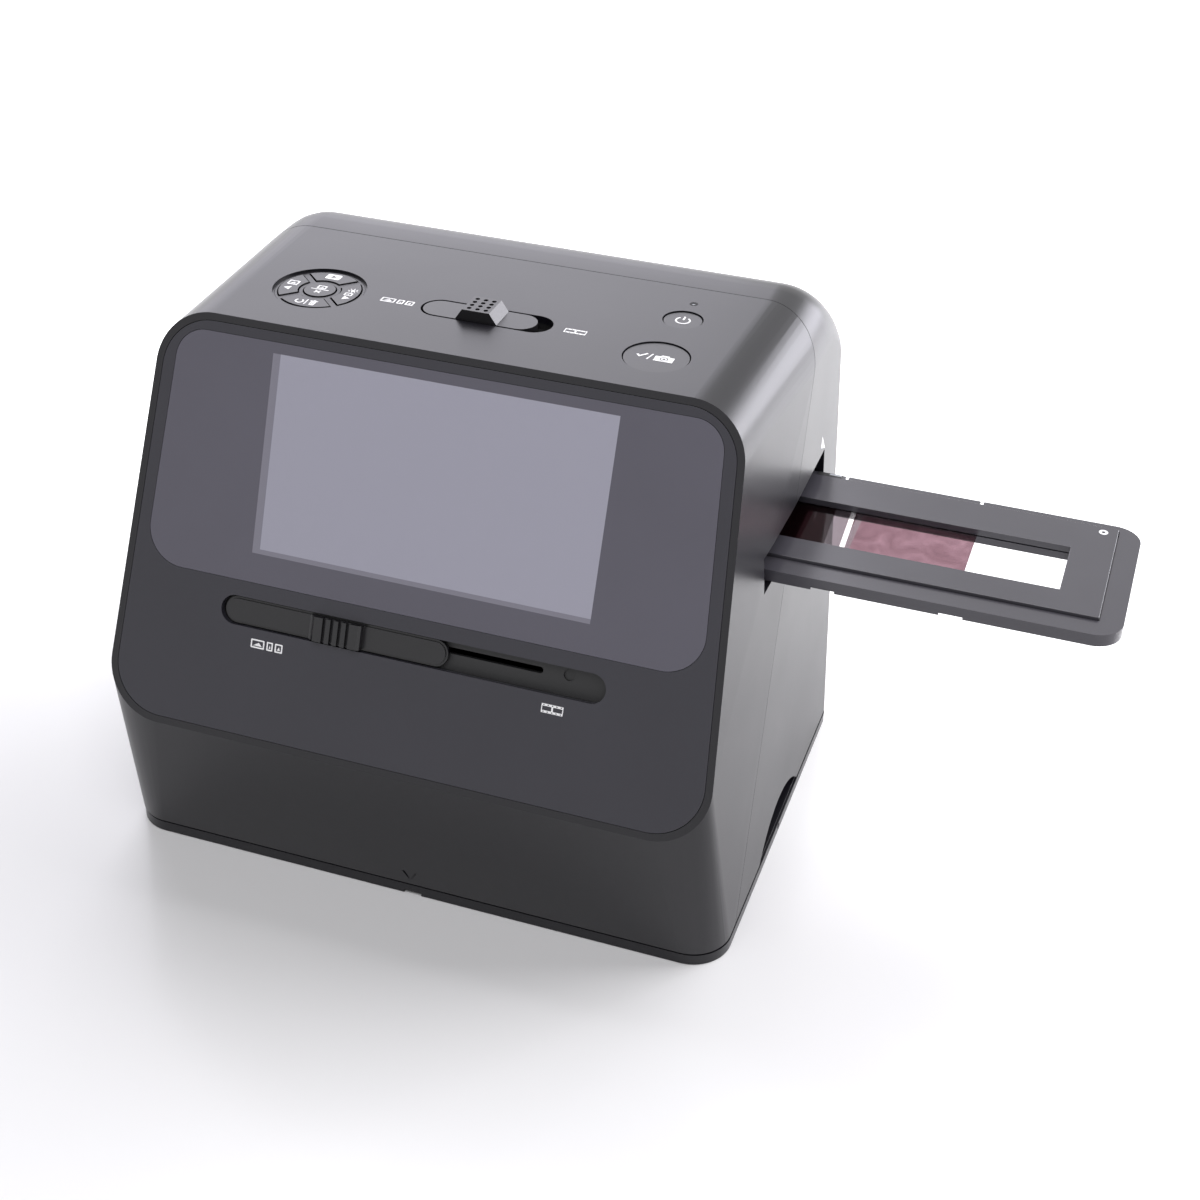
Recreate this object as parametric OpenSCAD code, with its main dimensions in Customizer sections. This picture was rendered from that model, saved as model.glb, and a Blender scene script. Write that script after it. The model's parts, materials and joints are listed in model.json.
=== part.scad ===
// Film and print scanner for the desk: a leaning front with a screen, keys on top,
// a flat film holder that slides through both sides, and a photo tray under the housing.
// Millimetres. X is the width (right as seen from the front), Y runs to the back, Z is up.
// The origin is the middle of the footprint, on the surface the scanner stands on.

/* [Housing] */
// Footprint on each side of the print recess
side_margin = 28; // [26:0.5:30]
// Footprint behind the print recess
back_margin = 7.05; // [6.8:0.05:8]
// Height of the top face
height = 178.6; // [177.4:0.2:181]
// How much each side leans in at the panel for each millimetre of height
side_slope = 0.068; // [0.062:0.002:0.074]
// How much each side leans in at the seam and behind it for each millimetre of height
rear_slope = 0.047; // [0.044:0.001:0.05]
// Height of the knee under the screen panel
knee_height = 57.15; // [56:0.25:58.5]
// How far the knee stands in front of the foot
knee_reach = 12; // [11:0.25:13]
// Lean of the screen panel from upright, degrees
panel_lean = 22.1; // [21.6:0.1:22.6]
// Radius of the panel frame's corners
corner_radius = 18; // [16:0.5:20]
// Radius of the long top edges at the seam and behind it
top_radius = 19; // [17:0.5:21]
// Radius along the top rear edge
rear_fillet = 27.6; // [26:0.2:29]
// Radius of the upright rear edges
rear_edge_radius = 6; // [5:0.5:7]
// Radius of the footprint's front corners
foot_radius = 13; // [12:0.5:14]
// Wall of the covers
wall = 2.4; // [2.2:0.1:2.6]
// Wall behind the front face, with the panel's pocket in it
front_wall = 4; // [3.9:0.1:4.3]

/* [Seam between the covers] */
// Where the seam crosses the top, back from the middle
seam_top_y = 36.5; // [35:0.5:39]
// Where the seam meets the tray
seam_foot_y = -57; // [-58:0.5:-56]
// Gap of the seam
seam_gap = 0.3; // [0.2:0.05:0.4]

/* [Photo tray] */
// Thickness of the tray with its feet
tray_height = 4.7; // [4.5:0.1:4.9]
// Height of the feet below the tray
foot_stand = 0.25; // [0.15:0.05:0.25]
// Gap between the tray and the housing that rests on it
tray_gap = 0.3; // [0.3:0.05:0.5]
// Length of the print recess
print_length = 153; // [152.5:0.1:153.8]
// Width of the print recess
print_width = 103; // [102.4:0.1:103.6]
// Depth of the print recess
print_depth = 1.2; // [0.8:0.1:1.6]
// Width of the finger recess in each side
finger_width = 50; // [46:1:52]
// Height of the finger recess above the housing's lower edge
finger_height = 10; // [8:0.5:11]

/* [Screen panel] */
// Width of the frame around the panel
panel_border = 2.4; // [2.2:0.1:2.8]
// Thickness of the panel
panel_thickness = 2; // [1.9:0.05:2.1]
// Corner radius of the panel
panel_radius = 16; // [14:0.5:17]
// Upper edge of the glossy window, down the panel from its upper edge
window_top = 5.48; // [5.1:0.02:6]
// Height of the glossy window
window_height = 74.2; // [73.8:0.1:74.8]
// Border between the frame's edge and the window
window_border = 6.4; // [6:0.1:7]
// Lower corner radius of the window
window_low_radius = 12; // [10:0.5:13]
// Upper corner radius of the window
window_high_radius = 9.5; // [8:0.5:11]
// Thickness of the window
window_thickness = 1.3; // [1.2:0.05:1.4]
// Width of the screen
screen_width = 109.8; // [108:0.2:111]
// Height of the screen
screen_height = 61.6; // [60.6:0.2:62.4]
// Lower edge of the screen above the window's lower edge
screen_rise = 9.2; // [8.8:0.1:9.4]

/* [Front slider] */
// Height of the front slot
slot_height = 9.3; // [9.1:0.1:9.6]
// Middle of the front slot below the window's lower edge
slot_below = 9.7; // [9.6:0.1:10]
// Length of the front slider's plate
slider_length = 74.6; // [74:0.1:75]
// Gap round the plate in its slot
slider_gap = 0.45; // [0.4:0.05:0.5]
// How far the front slider runs
slider_travel = 49.5; // [49:0.1:50]
// What the front slot is longer than the plate and its run
slot_spare = 2; // [1.6:0.1:2.4]
// Depth of the slot's floor below the panel
slot_floor = 3.3; // [3.2:0.05:3.4]
// Height of the grip above the plate
grip_rise = 3; // [2.4:0.1:3.4]
// Length of the grip along the slot
grip_length = 17.5; // [16:0.25:18.5]

/* [Top slider] */
// Length of the top slider's plate
top_slider_length = 37.3; // [37:0.1:37.4]
// Width of the top slider's plate
top_slider_width = 11; // [10.8:0.05:11.1]
// What the top slot is longer than the plate and its run
top_spare = 1; // [0.7:0.1:1.5]
// What the top slot is wider than the plate
top_side_spare = 0.9; // [0.8:0.05:1.1]
// How far the top slider runs
top_travel = 4.2; // [4:0.1:4.2]
// Height of the top grip above its plate
top_grip_rise = 3.2; // [2.8:0.1:3.6]

/* [Keys] */
// Radius of the four-way pad
pad_radius = 12.8; // [12.5:0.05:12.9]
// Ring between the centre key and the four-way keys
centre_web = 2; // [1.9:0.05:2.2]
// Radius of the centre key
centre_radius = 4.9; // [4.7:0.05:4.9]
// Radius of the power key
power_radius = 5.9; // [5.7:0.05:6]
// Radius of the shutter key
shutter_radius = 9.8; // [9.6:0.05:9.9]
// Gap round each key
key_gap = 0.4; // [0.35:0.01:0.42]
// How far the round keys lie below the top face
key_drop = 0.35; // [0.2:0.05:0.4]
// Depth of the dish round the four-way keys
dish_depth = 0.8; // [0.6:0.05:1]
// How far the four-way keys stand above their dish
pad_rise = 0.3; // [0.2:0.05:0.4]
// Half of the web between two of the four-way keys
pad_web = 1.3; // [1.1:0.05:1.4]
// Travel of every key
key_travel = 0.8; // [0.6:0.05:0.8]

/* [Film path] */
// Width of the film holder
holder_width = 64.5; // [64.2:0.1:64.7]
// From the holder's right end to its window
holder_end = 20.4; // [20:0.1:21]
// From the holder's left end to its window
holder_tail = 21.2; // [20:0.1:22]
// Thickness of the holder's base
holder_base_height = 4; // [3.9:0.05:4.1]
// Underside of the holder below the top face
holder_depth = 66.4; // [66.3:0.05:66.4]
// Height of the lid's top above the holder's underside
holder_height = 5; // [4.8:0.05:5.1]
// Length of the window in the holder
film_window_length = 194.4; // [193:0.2:195]
// Width of the window in the holder
film_window_width = 25.5; // [25:0.1:26]
// Width of the film
film_width = 35; // [34.9:0.05:35]
// Length of the film strip
film_length = 155; // [152:1:158]
// Start of the film strip from the left end of the holder's window
film_start = 10.5; // [8:0.5:14]
// How far the holder stands out of the right side, from the middle of the scanner
holder_right = 202.8; // [201:0.2:204]

/* [Optics] */
// Where the optical axis is, back from the middle
axis_y = 13.75; // [13.75:0.05:13.85]
// Outer radius of the lens barrel
barrel_radius = 14; // [13.8:0.05:14.1]
// Running gap of the focus ring
ring_gap = 0.05; // [0.03:0.01:0.08]
// Radius of the guide rods
rod_radius = 1.5; // [1.4:0.05:1.6]
// Running gap of the carriage on the rods
rod_gap = 0.05; // [0.03:0.01:0.08]

/* [Hidden] */
thin = 0.02;
fine = 64;
mid = 48;
coarse = 32;
half_width = print_length / 2 + side_margin;
back_y = axis_y + print_width / 2 + back_margin;
front_y = -back_y;
knee_y = front_y - knee_reach;
panel_length = (height - knee_height) / cos(panel_lean);
housing_z = tray_height + tray_gap;
seam_slope = (seam_top_y - seam_foot_y) / height;
top_inside = height - wall;
panel_fit = 0.15;
panel_low = panel_border;
panel_high = panel_length - panel_border;
window_high = panel_length - window_top;
window_low = window_high - window_height;
screen_low = window_low + screen_rise;
top_edge_y = knee_y + panel_length * sin(panel_lean);

// the front slider and its track
slot_length = slider_length + slider_travel + slot_spare;
slot_v = window_low - slot_below;
slot_floor_thick = 2;
plate_drop = 0.8;
plate_lift = 0.3;
plate_left = -slot_length / 2 + 0.95;
plate_height = slot_height - 2 * slider_gap;
arm_u = -8.9;
arm_v = slot_v + 1.3;
arm_half = 1;
arm_thick = 1.4;
grip_left = plate_left + 29.3;

// the top: keys, slider and boards
shutter_x = 58.05;
shutter_y = top_edge_y + 20.785;
shutter_screw_x = 58;
shutter_screw_y = shutter_y + 14.2;
shutter_screw_reach = 11.4;
power_x = 57.9;
power_y = shutter_y + 27.1;
light_x = 57.8;
light_y = shutter_y + 39;
pad_x = -54;
pad_y = shutter_y + 7.2;
pad_inner = centre_radius + centre_web;
dish_radius = pad_radius + 1.9;
bezel_radius = pad_radius + 1.2;
pad_board_half = pad_radius + 5.2;
pad_screw = pad_board_half - 3;
key_top = height - key_drop;
flange_top = top_inside - 0.3;
flange_thick = 1.2;
flange_bottom = flange_top - flange_thick;
stem_bottom = flange_bottom - 1.5;
board_thick = 1.6;
board_top = top_inside - 8.8;
switch_top = stem_bottom - key_travel - 0.3;
top_slot_length = top_slider_length + top_travel + top_spare;
top_slot_width = top_slider_width + top_side_spare;
top_slot_x = 1.65;
top_slot_y = -6.7;
top_plate_x = top_slot_x - top_slot_length / 2 + 0.45 + top_slider_length / 2;
top_floor = top_inside - 2;
top_plate_bottom = top_floor + 0.3;
top_plate_top = height + 0.2;
pin_x = -top_travel / 2;
pin_radius = 1.5;
lever_length = axis_y - top_slot_y;

// the film path
holder_z = height - holder_depth;
window_right = holder_right - holder_end;
window_left = window_right - film_window_length;
holder_left = window_left - holder_tail;
holder_front = axis_y - holder_width / 2;
holder_back = axis_y + holder_width / 2;
film_slot_z = holder_z - 0.2;
film_slot_height = 12.3;
film_slot_front = holder_front - 7.5;
film_slot_back = holder_back + 1;
guide_half = half_width - 9.1;
guide_screw_x = guide_half - 2.4;
seat_inner = half_width - 13.5;
seat_outer = half_width - 5.1;
guide_floor_top = holder_z - 0.3;
guide_floor_thick = 2.4;
guide_bottom = guide_floor_top - guide_floor_thick;
rail_gap = 0.5;
rail_top = holder_z + 8.8;
rail_width = 4.9;
film_left = window_left + film_start;
lid_right = holder_right - 7.3;
lid_left = holder_left + 7.6;
notch_pitch = 38.9;

// the backlight and its rods
rod_z = holder_z - 12.2;
rod_reach = 24;
carriage_x = -slider_travel;
carriage_half = 20;
carriage_bottom = rod_z - 4;
carriage_top = rod_z + 6.8;
bracket_x = guide_half - 7.4;

// the lens
frame_low = height - 33.6;
frame_high = frame_low + 3;
barrel_top = height - 16.6;
ring_bottom = frame_high + 2.3;
ring_top = ring_bottom + 5.7;
pin_bottom = ring_bottom + 2.7;

// the base frame and the rear board
frame_z = housing_z + 0.3;
frame_thick = 3;
opening_x = print_length / 2 + 3.5;
opening_front = axis_y - print_width / 2 - 4.25;
opening_back = back_y - 6;
boss_x = half_width - 14.5;
boss_front_y = front_y + 12.3;
boss_back_y = back_y - 16.3;
boss_top = 24;
foot_x = half_width - 16.5;
foot_y = back_y - 14.3;
main_y = back_y - 10.3;
port_z = 32;
usb_x = -45;
hdmi_x = -20;
card_x = 18;

function half_at(z) = half_width - side_slope * z;
function rear_half(z) = half_width - rear_slope * z;
function skirt_y(z) = front_y - knee_reach * z / knee_height;
function panel_half(v) = half_at(knee_height + v * cos(panel_lean));

// ---- shared shapes ----

module on_panel() {
    translate([0, knee_y, knee_height])
        rotate([90 - panel_lean, 0, 0])
            children();
}

module along_x(x0, x1) {
    translate([x0, 0, 0])
        rotate([90, 0, 90])
            linear_extrude(x1 - x0)
                children();
}

module box(x0, x1, y0, y1, z0, z1) {
    translate([x0, y0, z0])
        cube([x1 - x0, y1 - y0, z1 - z0]);
}

module rod(x, y, z0, z1, r, sides = mid) {
    translate([x, y, z0])
        cylinder(h = z1 - z0, r = r, $fn = sides);
}

module rounded(x0, x1, y0, y1, r) {
    offset(r = r, $fn = fine)
        translate([x0 + r, y0 + r])
            square([x1 - x0 - 2 * r, y1 - y0 - 2 * r]);
}

module stadium(x0, x1, y, width) {
    r = width / 2;
    translate([x0 + r, y - r])
        square([x1 - x0 - width, width]);
    translate([x0 + r, y])
        circle(r = r, $fn = mid);
    translate([x1 - r, y])
        circle(r = r, $fn = mid);
}

// a trapezoid with round corners that follows the panel's slanting sides
module panel_shape(border, low, high, r) {
    offset(r = r, $fn = fine)
        offset(delta = -r)
            polygon([
                [-panel_half(low) + border, low],
                [panel_half(low) - border, low],
                [panel_half(high) - border, high],
                [-panel_half(high) + border, high]
            ]);
}

module base_outline(z, inset) {
    hull()
        for (side = [-1, 1]) {
            translate([side * (rear_half(z) - foot_radius), skirt_y(z) + foot_radius])
                circle(r = foot_radius - inset, $fn = fine);
            translate([side * (rear_half(z) - rear_edge_radius), back_y - rear_edge_radius])
                circle(r = rear_edge_radius - inset, $fn = fine);
        }
}

// one slice across the top, that drops and narrows as it nears the back
module top_slice(turn, inset) {
    r_edge = rear_edge_radius;
    y = back_y - rear_fillet + (rear_fillet - inset) * sin(turn);
    z_top = height - rear_fillet + (rear_fillet - inset) * cos(turn);
    past = max(0, y + inset - (back_y - r_edge));
    narrow = r_edge - sqrt(max(0, r_edge * r_edge - past * past));
    r = max(top_radius - inset - narrow, 5);
    cx = rear_half(z_top - r) - inset - narrow - r;
    for (side = [-1, 1])
        translate([side * cx, y, z_top - r])
            rotate([90, 0, 0])
                cylinder(h = thin, r1 = r, r2 = r - thin, $fn = fine);
}

// the round of both long top edges in the seam's sloping plane, where the covers are widest
module seam_slice(inset) {
    low = height - top_radius;
    cx = rear_half(low) - top_radius;
    multmatrix([[1, 0, 0, 0], [0, 1, seam_slope, seam_foot_y], [0, 0, 1, 0]])
        for (side = [-1, 1])
            translate([side * cx, 0, low])
                rotate([90, 0, 0])
                    cylinder(h = thin, r1 = top_radius - inset, r2 = top_radius - inset - thin,
                        $fn = fine);
}

// the housing's outer form, or with an inset the space inside its walls
module body_form(inset, front_inset, low) {
    top_v = (height - inset - knee_height + front_inset * sin(panel_lean)) / cos(panel_lean);
    low_v = inset > 0 ? -1.6 : 0;
    hull() {
        on_panel()
            translate([0, 0, -front_inset - thin])
                linear_extrude(thin)
                    panel_shape(inset, low_v, top_v, corner_radius - inset);
        translate([0, 0, low])
            linear_extrude(thin)
                base_outline(low, inset);
        seam_slice(inset);
        for (turn = [0 : 10 : 90])
            top_slice(turn, inset);
    }
}

// the side of the seam towards the front, or with a gap of its own towards the back
module before_seam(gap) {
    along_x(-150, 150)
        polygon([
            [-200, -20],
            [seam_foot_y - 20 * seam_slope - gap, -20],
            [seam_foot_y + 250 * seam_slope - gap, 250],
            [-200, 250]
        ]);
}

module film_slots() {
    for (side = [-1, 1])
        translate([side * 100, 0, 0])
            box(-20, 20, film_slot_front, film_slot_back,
                film_slot_z, film_slot_z + film_slot_height);
}

module key_wedge(grow) {
    tip = grow * sqrt(2);
    polygon([
        [tip, 0],
        [30, 30 - tip],
        [30, -30 + tip]
    ]);
}

// ---- photo tray ----

module photo_tray() {
    color("DimGray")
    difference() {
        union() {
            translate([0, 0, foot_stand])
                linear_extrude(tray_height - foot_stand - 0.7)
                    base_outline(2.5, 0);
            translate([0, 0, foot_stand])
                linear_extrude(tray_height - foot_stand)
                    base_outline(2.5, 0.8);
            difference() {
                box(-opening_x + 0.4, opening_x - 0.4, opening_front + 0.4, opening_back - 6.3,
                    tray_height - 1, tray_height + 3);
                box(-opening_x + 1.9, opening_x - 1.9, opening_front + 1.9, opening_back + 4,
                    tray_height - 2, tray_height + 4);
            }
        }
        box(-print_length / 2, print_length / 2, axis_y - print_width / 2,
            axis_y + print_width / 2, tray_height - print_depth, tray_height + 1);
        for (side = [-1, 1]) {
            rod(side * print_length / 2, axis_y, tray_height - print_depth - 0.6,
                tray_height + 5, 11);
            translate([side * (half_width + 2), 0, 2.6])
                rotate([0, -side * 90, 0])
                    cylinder(h = 5, r = 1.1, $fn = coarse);
        }
        box(-3, 3, front_y - 4, front_y + 0.8, 0, foot_stand + 1.1);
        for (sx = [-1, 1], sy = [-1, 1])
            rod(sx * foot_x, sy * foot_y, 0, foot_stand + 1.2, 7.05);
    }
}

module tray_feet() {
    color("Black")
    for (sx = [-1, 1], sy = [-1, 1])
        rod(sx * foot_x, sy * foot_y, 0, foot_stand + 1.2, 7);
}

// ---- covers ----

module cover_shell() {
    difference() {
        body_form(0, 0, housing_z);
        body_form(wall, front_wall, housing_z - 6);
    }
}

module base_boss(side, y) {
    reach = half_width - 1.6 - boss_x;
    rod(side * boss_x, y, frame_z + frame_thick, boss_top, 4);
    translate([side * boss_x, y, 0])
        box(min(0, side * reach), max(0, side * reach), -1.2, 1.2, frame_z + frame_thick, boss_top);
}

// what the film guide is screwed down on, against the cover's side
module guide_seat(side, y0, y1) {
    box(min(side * seat_inner, side * seat_outer), max(side * seat_inner, side * seat_outer),
        y0, y1, guide_bottom - 6, guide_bottom);
}

module front_cover() {
    color("DimGray")
    difference() {
        union() {
            intersection() {
                cover_shell();
                before_seam(seam_gap / 2);
            }
            for (side = [-1, 1]) {
                base_boss(side, boss_front_y);
                guide_seat(side, -20, -4);
                rod(pad_x + side * pad_screw, pad_y + pad_screw, board_top, top_inside + 0.4, 2.4, coarse);
                rod(pad_x + side * pad_screw, pad_y - pad_screw, board_top, top_inside + 0.4, 2.4, coarse);
                rod(shutter_screw_x + side * shutter_screw_reach, shutter_screw_y, board_top,
                    top_inside + 0.4, 2.2, coarse);
            }
        }
        on_panel() {
            translate([0, 0, -panel_thickness])
                linear_extrude(panel_thickness + 1)
                    panel_shape(panel_border - panel_fit, panel_low - panel_fit,
                        panel_high + panel_fit, panel_radius);
            box(-screen_width / 2 - 3.6, screen_width / 2 + 4.6, screen_low - 2.9,
                screen_low + screen_height + 3.1, -front_wall - 3, 0);
            translate([0, 0, -front_wall - 3])
                linear_extrude(front_wall + 3)
                    stadium(-slot_length / 2 - 2.6, slot_length / 2 + 2.6, slot_v,
                        slot_height + 5.2);
        }
        film_slots();
        for (side = [-1, 1])
            rod(side * boss_x, boss_front_y, 0, boss_top - 4, 1.3, coarse);
        for (side = [-1, 1])
            rod(side * guide_screw_x, -10, guide_bottom - 5.5, guide_bottom + 1, 0.9, coarse);
        rod(pad_x, pad_y, height - dish_depth, height + 1, dish_radius);
        rod(pad_x, pad_y, top_inside - 1, height + 1, bezel_radius + 0.05);
        rod(power_x, power_y, top_inside - 1, height + 1, power_radius + key_gap);
        rod(shutter_x, shutter_y, top_inside - 1, height + 1, shutter_radius + key_gap);
        rod(light_x, light_y, top_inside - 1, height + 1, 0.95, coarse);
        translate([0, 0, top_inside - 1])
            linear_extrude(wall + 2)
                stadium(top_slot_x - top_slot_length / 2, top_slot_x + top_slot_length / 2,
                    top_slot_y, top_slot_width);
        for (side = [-1, 1]) {
            rod(pad_x + side * pad_screw, pad_y + pad_screw, board_top - 1, board_top + 5, 0.8, coarse);
            rod(pad_x + side * pad_screw, pad_y - pad_screw, board_top - 1, board_top + 5, 0.8, coarse);
            rod(shutter_screw_x + side * shutter_screw_reach, shutter_screw_y, board_top - 1,
                board_top + 5, 0.8, coarse);
        }
        translate([0, skirt_y(9) + 0.35, 9])
            rotate([90, 0, 0])
                linear_extrude(3)
                    polygon([[-2.6, 2.4], [-1.8, 2.4], [0, -1.2], [1.8, 2.4], [2.6, 2.4], [0, -2.6]]);
    }
}

module rear_cover() {
    finger_r = (finger_width * finger_width / 4 + finger_height * finger_height)
        / (2 * finger_height);
    color("DimGray")
    difference() {
        union() {
            difference() {
                cover_shell();
                before_seam(-seam_gap / 2);
            }
            for (side = [-1, 1]) {
                base_boss(side, boss_back_y);
                guide_seat(side, 22, 50);
            }
            for (x = [-68, 68], z = [27, 88])
                translate([x, back_y - wall + 0.5, z])
                    rotate([90, 0, 0])
                        cylinder(h = back_y - wall + 0.5 - main_y - board_thick, r = 3, $fn = coarse);
        }
        film_slots();
        for (side = [-1, 1]) {
            rod(side * boss_x, boss_back_y, 0, boss_top - 4, 1.3, coarse);
            rod(side * guide_screw_x, 42, guide_bottom - 5.5, guide_bottom + 1, 0.9, coarse);
            translate([side * 105, 0, housing_z + finger_height - finger_r])
                rotate([0, 90, 0])
                    cylinder(h = 30, r = finger_r, center = true, $fn = 128);
        }
        for (x = [-68, 68], z = [27, 88])
            translate([x, main_y + board_thick + 5, z])
                rotate([90, 0, 0])
                    cylinder(h = 6, r = 0.9, $fn = coarse);
        box(usb_x - 5, usb_x + 5, back_y - wall - 2, back_y + 2, port_z - 2.2, port_z + 2.2);
        box(hdmi_x - 6.2, hdmi_x + 6.2, back_y - wall - 2, back_y + 2, port_z - 2.2, port_z + 2.2);
        box(card_x - 13.3, card_x + 13.3, back_y - wall - 2, back_y + 2, port_z - 2, port_z + 2);
    }
}

module base_frame() {
    color("DarkSlateGray")
    difference() {
        translate([0, 0, frame_z])
            linear_extrude(frame_thick)
                base_outline(frame_z, wall + 0.6);
        box(-opening_x, opening_x, opening_front, opening_back, 0, 20);
        for (side = [-1, 1])
            box(min(side * (half_width - 10.5), side * (half_width + 5.5)),
                max(side * (half_width - 10.5), side * (half_width + 5.5)), -27, 27, 0, 20);
        for (side = [-1, 1], y = [boss_front_y, boss_back_y]) {
            rod(side * boss_x, y, 0, 20, 1.7, coarse);
            rod(side * boss_x, y, 0, frame_z + 1.6, 3.2, coarse);
        }
    }
}

module cover_screws() {
    color("Silver")
    for (side = [-1, 1], y = [boss_front_y, boss_back_y])
        difference() {
            union() {
                rod(side * boss_x, y, frame_z + 0.1, frame_z + 1.6, 2.9, coarse);
                rod(side * boss_x, y, frame_z + 1.6, boss_top - 6, 1.3, coarse);
            }
            for (turn = [0, 90])
                translate([side * boss_x, y, frame_z])
                    rotate([0, 0, turn])
                        cube([3, 0.6, 1.6], center = true);
        }
}

// ---- screen panel ----

module front_panel() {
    color("Gray")
    on_panel()
        difference() {
            translate([0, 0, -panel_thickness])
                linear_extrude(panel_thickness)
                    panel_shape(panel_border, panel_low, panel_high, panel_radius);
            translate([0, 0, -window_thickness])
                linear_extrude(window_thickness + 1)
                    window_shape(-0.12);
            box(-screen_width / 2 - 1.6, screen_width / 2 + 2.4, screen_low - 1.6,
                screen_low + screen_height + 1.6, -panel_thickness - 1, 1);
            translate([0, 0, -panel_thickness - 1])
                linear_extrude(panel_thickness + 2)
                    stadium(-slot_length / 2, slot_length / 2, slot_v, slot_height);
        }
}

module window_shape(inset) {
    middle = (window_low + window_high) / 2;
    intersection() {
        panel_shape(window_border + inset, window_low + inset, window_high - inset,
            window_low_radius);
        translate([-200, -200])
            square([400, 200 + middle]);
    }
    intersection() {
        panel_shape(window_border + inset, window_low + inset, window_high - inset,
            window_high_radius);
        translate([-200, middle])
            square([400, 200]);
    }
}

module screen_window() {
    color("SlateGray")
    on_panel()
        translate([0, 0, -window_thickness])
            linear_extrude(window_thickness)
                window_shape(0);
}

module lcd_panel() {
    color("LightSteelBlue")
    on_panel()
        box(-screen_width / 2 - 1.2, screen_width / 2 + 1.6, screen_low - 1.2,
            screen_low + screen_height + 1.2, -4, -2.2);
}

module lcd_frame() {
    color("Gainsboro")
    on_panel()
        difference() {
            box(-screen_width / 2 - 3.4, screen_width / 2 + 4.4, screen_low - 2.7,
                screen_low + screen_height + 2.9, -7, -panel_thickness);
            box(-screen_width / 2 - 1.3, screen_width / 2 + 1.7, screen_low - 1.3,
                screen_low + screen_height + 1.3, -4, 1);
        }
}

// ---- front slider: it carries the backlight under the film or out of the way ----

module front_slider_track() {
    color("DimGray")
    on_panel()
        difference() {
            union() {
                translate([0, 0, -slot_floor - slot_floor_thick])
                    linear_extrude(slot_floor + slot_floor_thick - panel_thickness)
                        stadium(-slot_length / 2 - 2.3, slot_length / 2 + 2.3, slot_v,
                            slot_height + 4.6);
                box(-slot_length / 2 + 2, slot_length / 2 - 2, slot_v - 11, slot_v + 11,
                    -front_wall - 1.4, -front_wall - 0.1);
            }
            translate([0, 0, -slot_floor])
                linear_extrude(slot_floor)
                    stadium(-slot_length / 2 + 0.02, slot_length / 2 - 0.02, slot_v,
                        slot_height - 0.04);
            translate([0, 0, -slot_floor - 5])
                linear_extrude(10)
                    stadium(arm_u - arm_half - 0.6, arm_u + slider_travel + arm_half + 0.6,
                        arm_v, 2);
            rod(slot_length / 2 - 12.6, arm_v + 0.4, -slot_floor - 0.6, 0, 1.8, coarse);
        }
}

module front_slider() {
    right = plate_left + slider_length;
    color("Gray")
    on_panel()
        difference() {
            union() {
                translate([0, 0, -slot_floor + plate_lift])
                    linear_extrude(slot_floor - plate_lift - plate_drop - 0.5)
                        stadium(plate_left, right, slot_v, plate_height);
                translate([0, 0, -slot_floor + plate_lift])
                    linear_extrude(slot_floor - plate_lift - plate_drop)
                        stadium(plate_left + 0.7, right - 0.7, slot_v, plate_height - 1.4);
                box(grip_left, grip_left + grip_length, slot_v - plate_height / 2 + 0.35,
                    slot_v + plate_height / 2 - 0.35, -plate_drop - 1, grip_rise - plate_drop);
            }
            // the thumb ramp and the ribs
            translate([grip_left - 1.5, slot_v + 20, grip_rise - plate_drop + 1.6])
                rotate([90, 0, 0])
                    cylinder(h = 40, r = 4, $fn = mid);
            translate([grip_left + grip_length + 3, slot_v + 20, grip_rise - plate_drop + 3.2])
                rotate([90, 0, 0])
                    cylinder(h = 40, r = 5, $fn = mid);
            for (i = [0 : 3])
                box(grip_left + 5 + i * 2.6, grip_left + 6.1 + i * 2.6, slot_v - 10, slot_v + 10,
                    grip_rise - plate_drop - 1.3, grip_rise + 3);
        }
}

module slider_arm() {
    // the arm leaves the plate square to the panel and then runs level to the carriage
    tip = 12;
    tip_y = knee_y + arm_v * sin(panel_lean) + tip * cos(panel_lean);
    tip_z = knee_height + arm_v * cos(panel_lean) - tip * sin(panel_lean);
    bar_z = tip_z - 1.8;
    lug_y = axis_y - rod_reach - 4.3;
    color("DimGray") {
        difference() {
            union() {
                on_panel()
                    box(arm_u - arm_half, arm_u + arm_half, arm_v - arm_thick / 2,
                        arm_v + arm_thick / 2, -tip, -slot_floor + plate_lift);
                box(arm_u - 2.5, arm_u + 2.5, tip_y - 1.6, lug_y, bar_z, bar_z + 2.4);
                box(carriage_x + 5, arm_u + 2.5, lug_y - 7, lug_y, bar_z, bar_z + 2.4);
                box(carriage_x + 5, carriage_x + 15, lug_y - 3, lug_y, bar_z, rod_z + 3);
            }
            translate([carriage_x + 10, lug_y + 1, rod_z - 1])
                rotate([90, 0, 0])
                    cylinder(h = 6, r = 0.6, $fn = coarse);
        }
    }
}

module backlight_carriage() {
    color("WhiteSmoke")
    translate([carriage_x, axis_y, 0])
        difference() {
            union() {
                box(-carriage_half, carriage_half, -rod_reach + 4, rod_reach - 4,
                    carriage_bottom, carriage_top);
                for (side = [-1, 1])
                    translate([0, side * rod_reach, 0])
                        box(-14, 14, -4.3, 4.3, rod_z - 4, rod_z + 4);
            }
            box(-carriage_half + 2, carriage_half - 2, -rod_reach + 6, rod_reach - 6,
                carriage_bottom + 2, carriage_top + 1);
            for (side = [-1, 1])
                translate([-30, side * rod_reach, rod_z])
                    rotate([0, 90, 0])
                        cylinder(h = 60, r = rod_radius + rod_gap, $fn = mid);
        }
}

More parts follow.
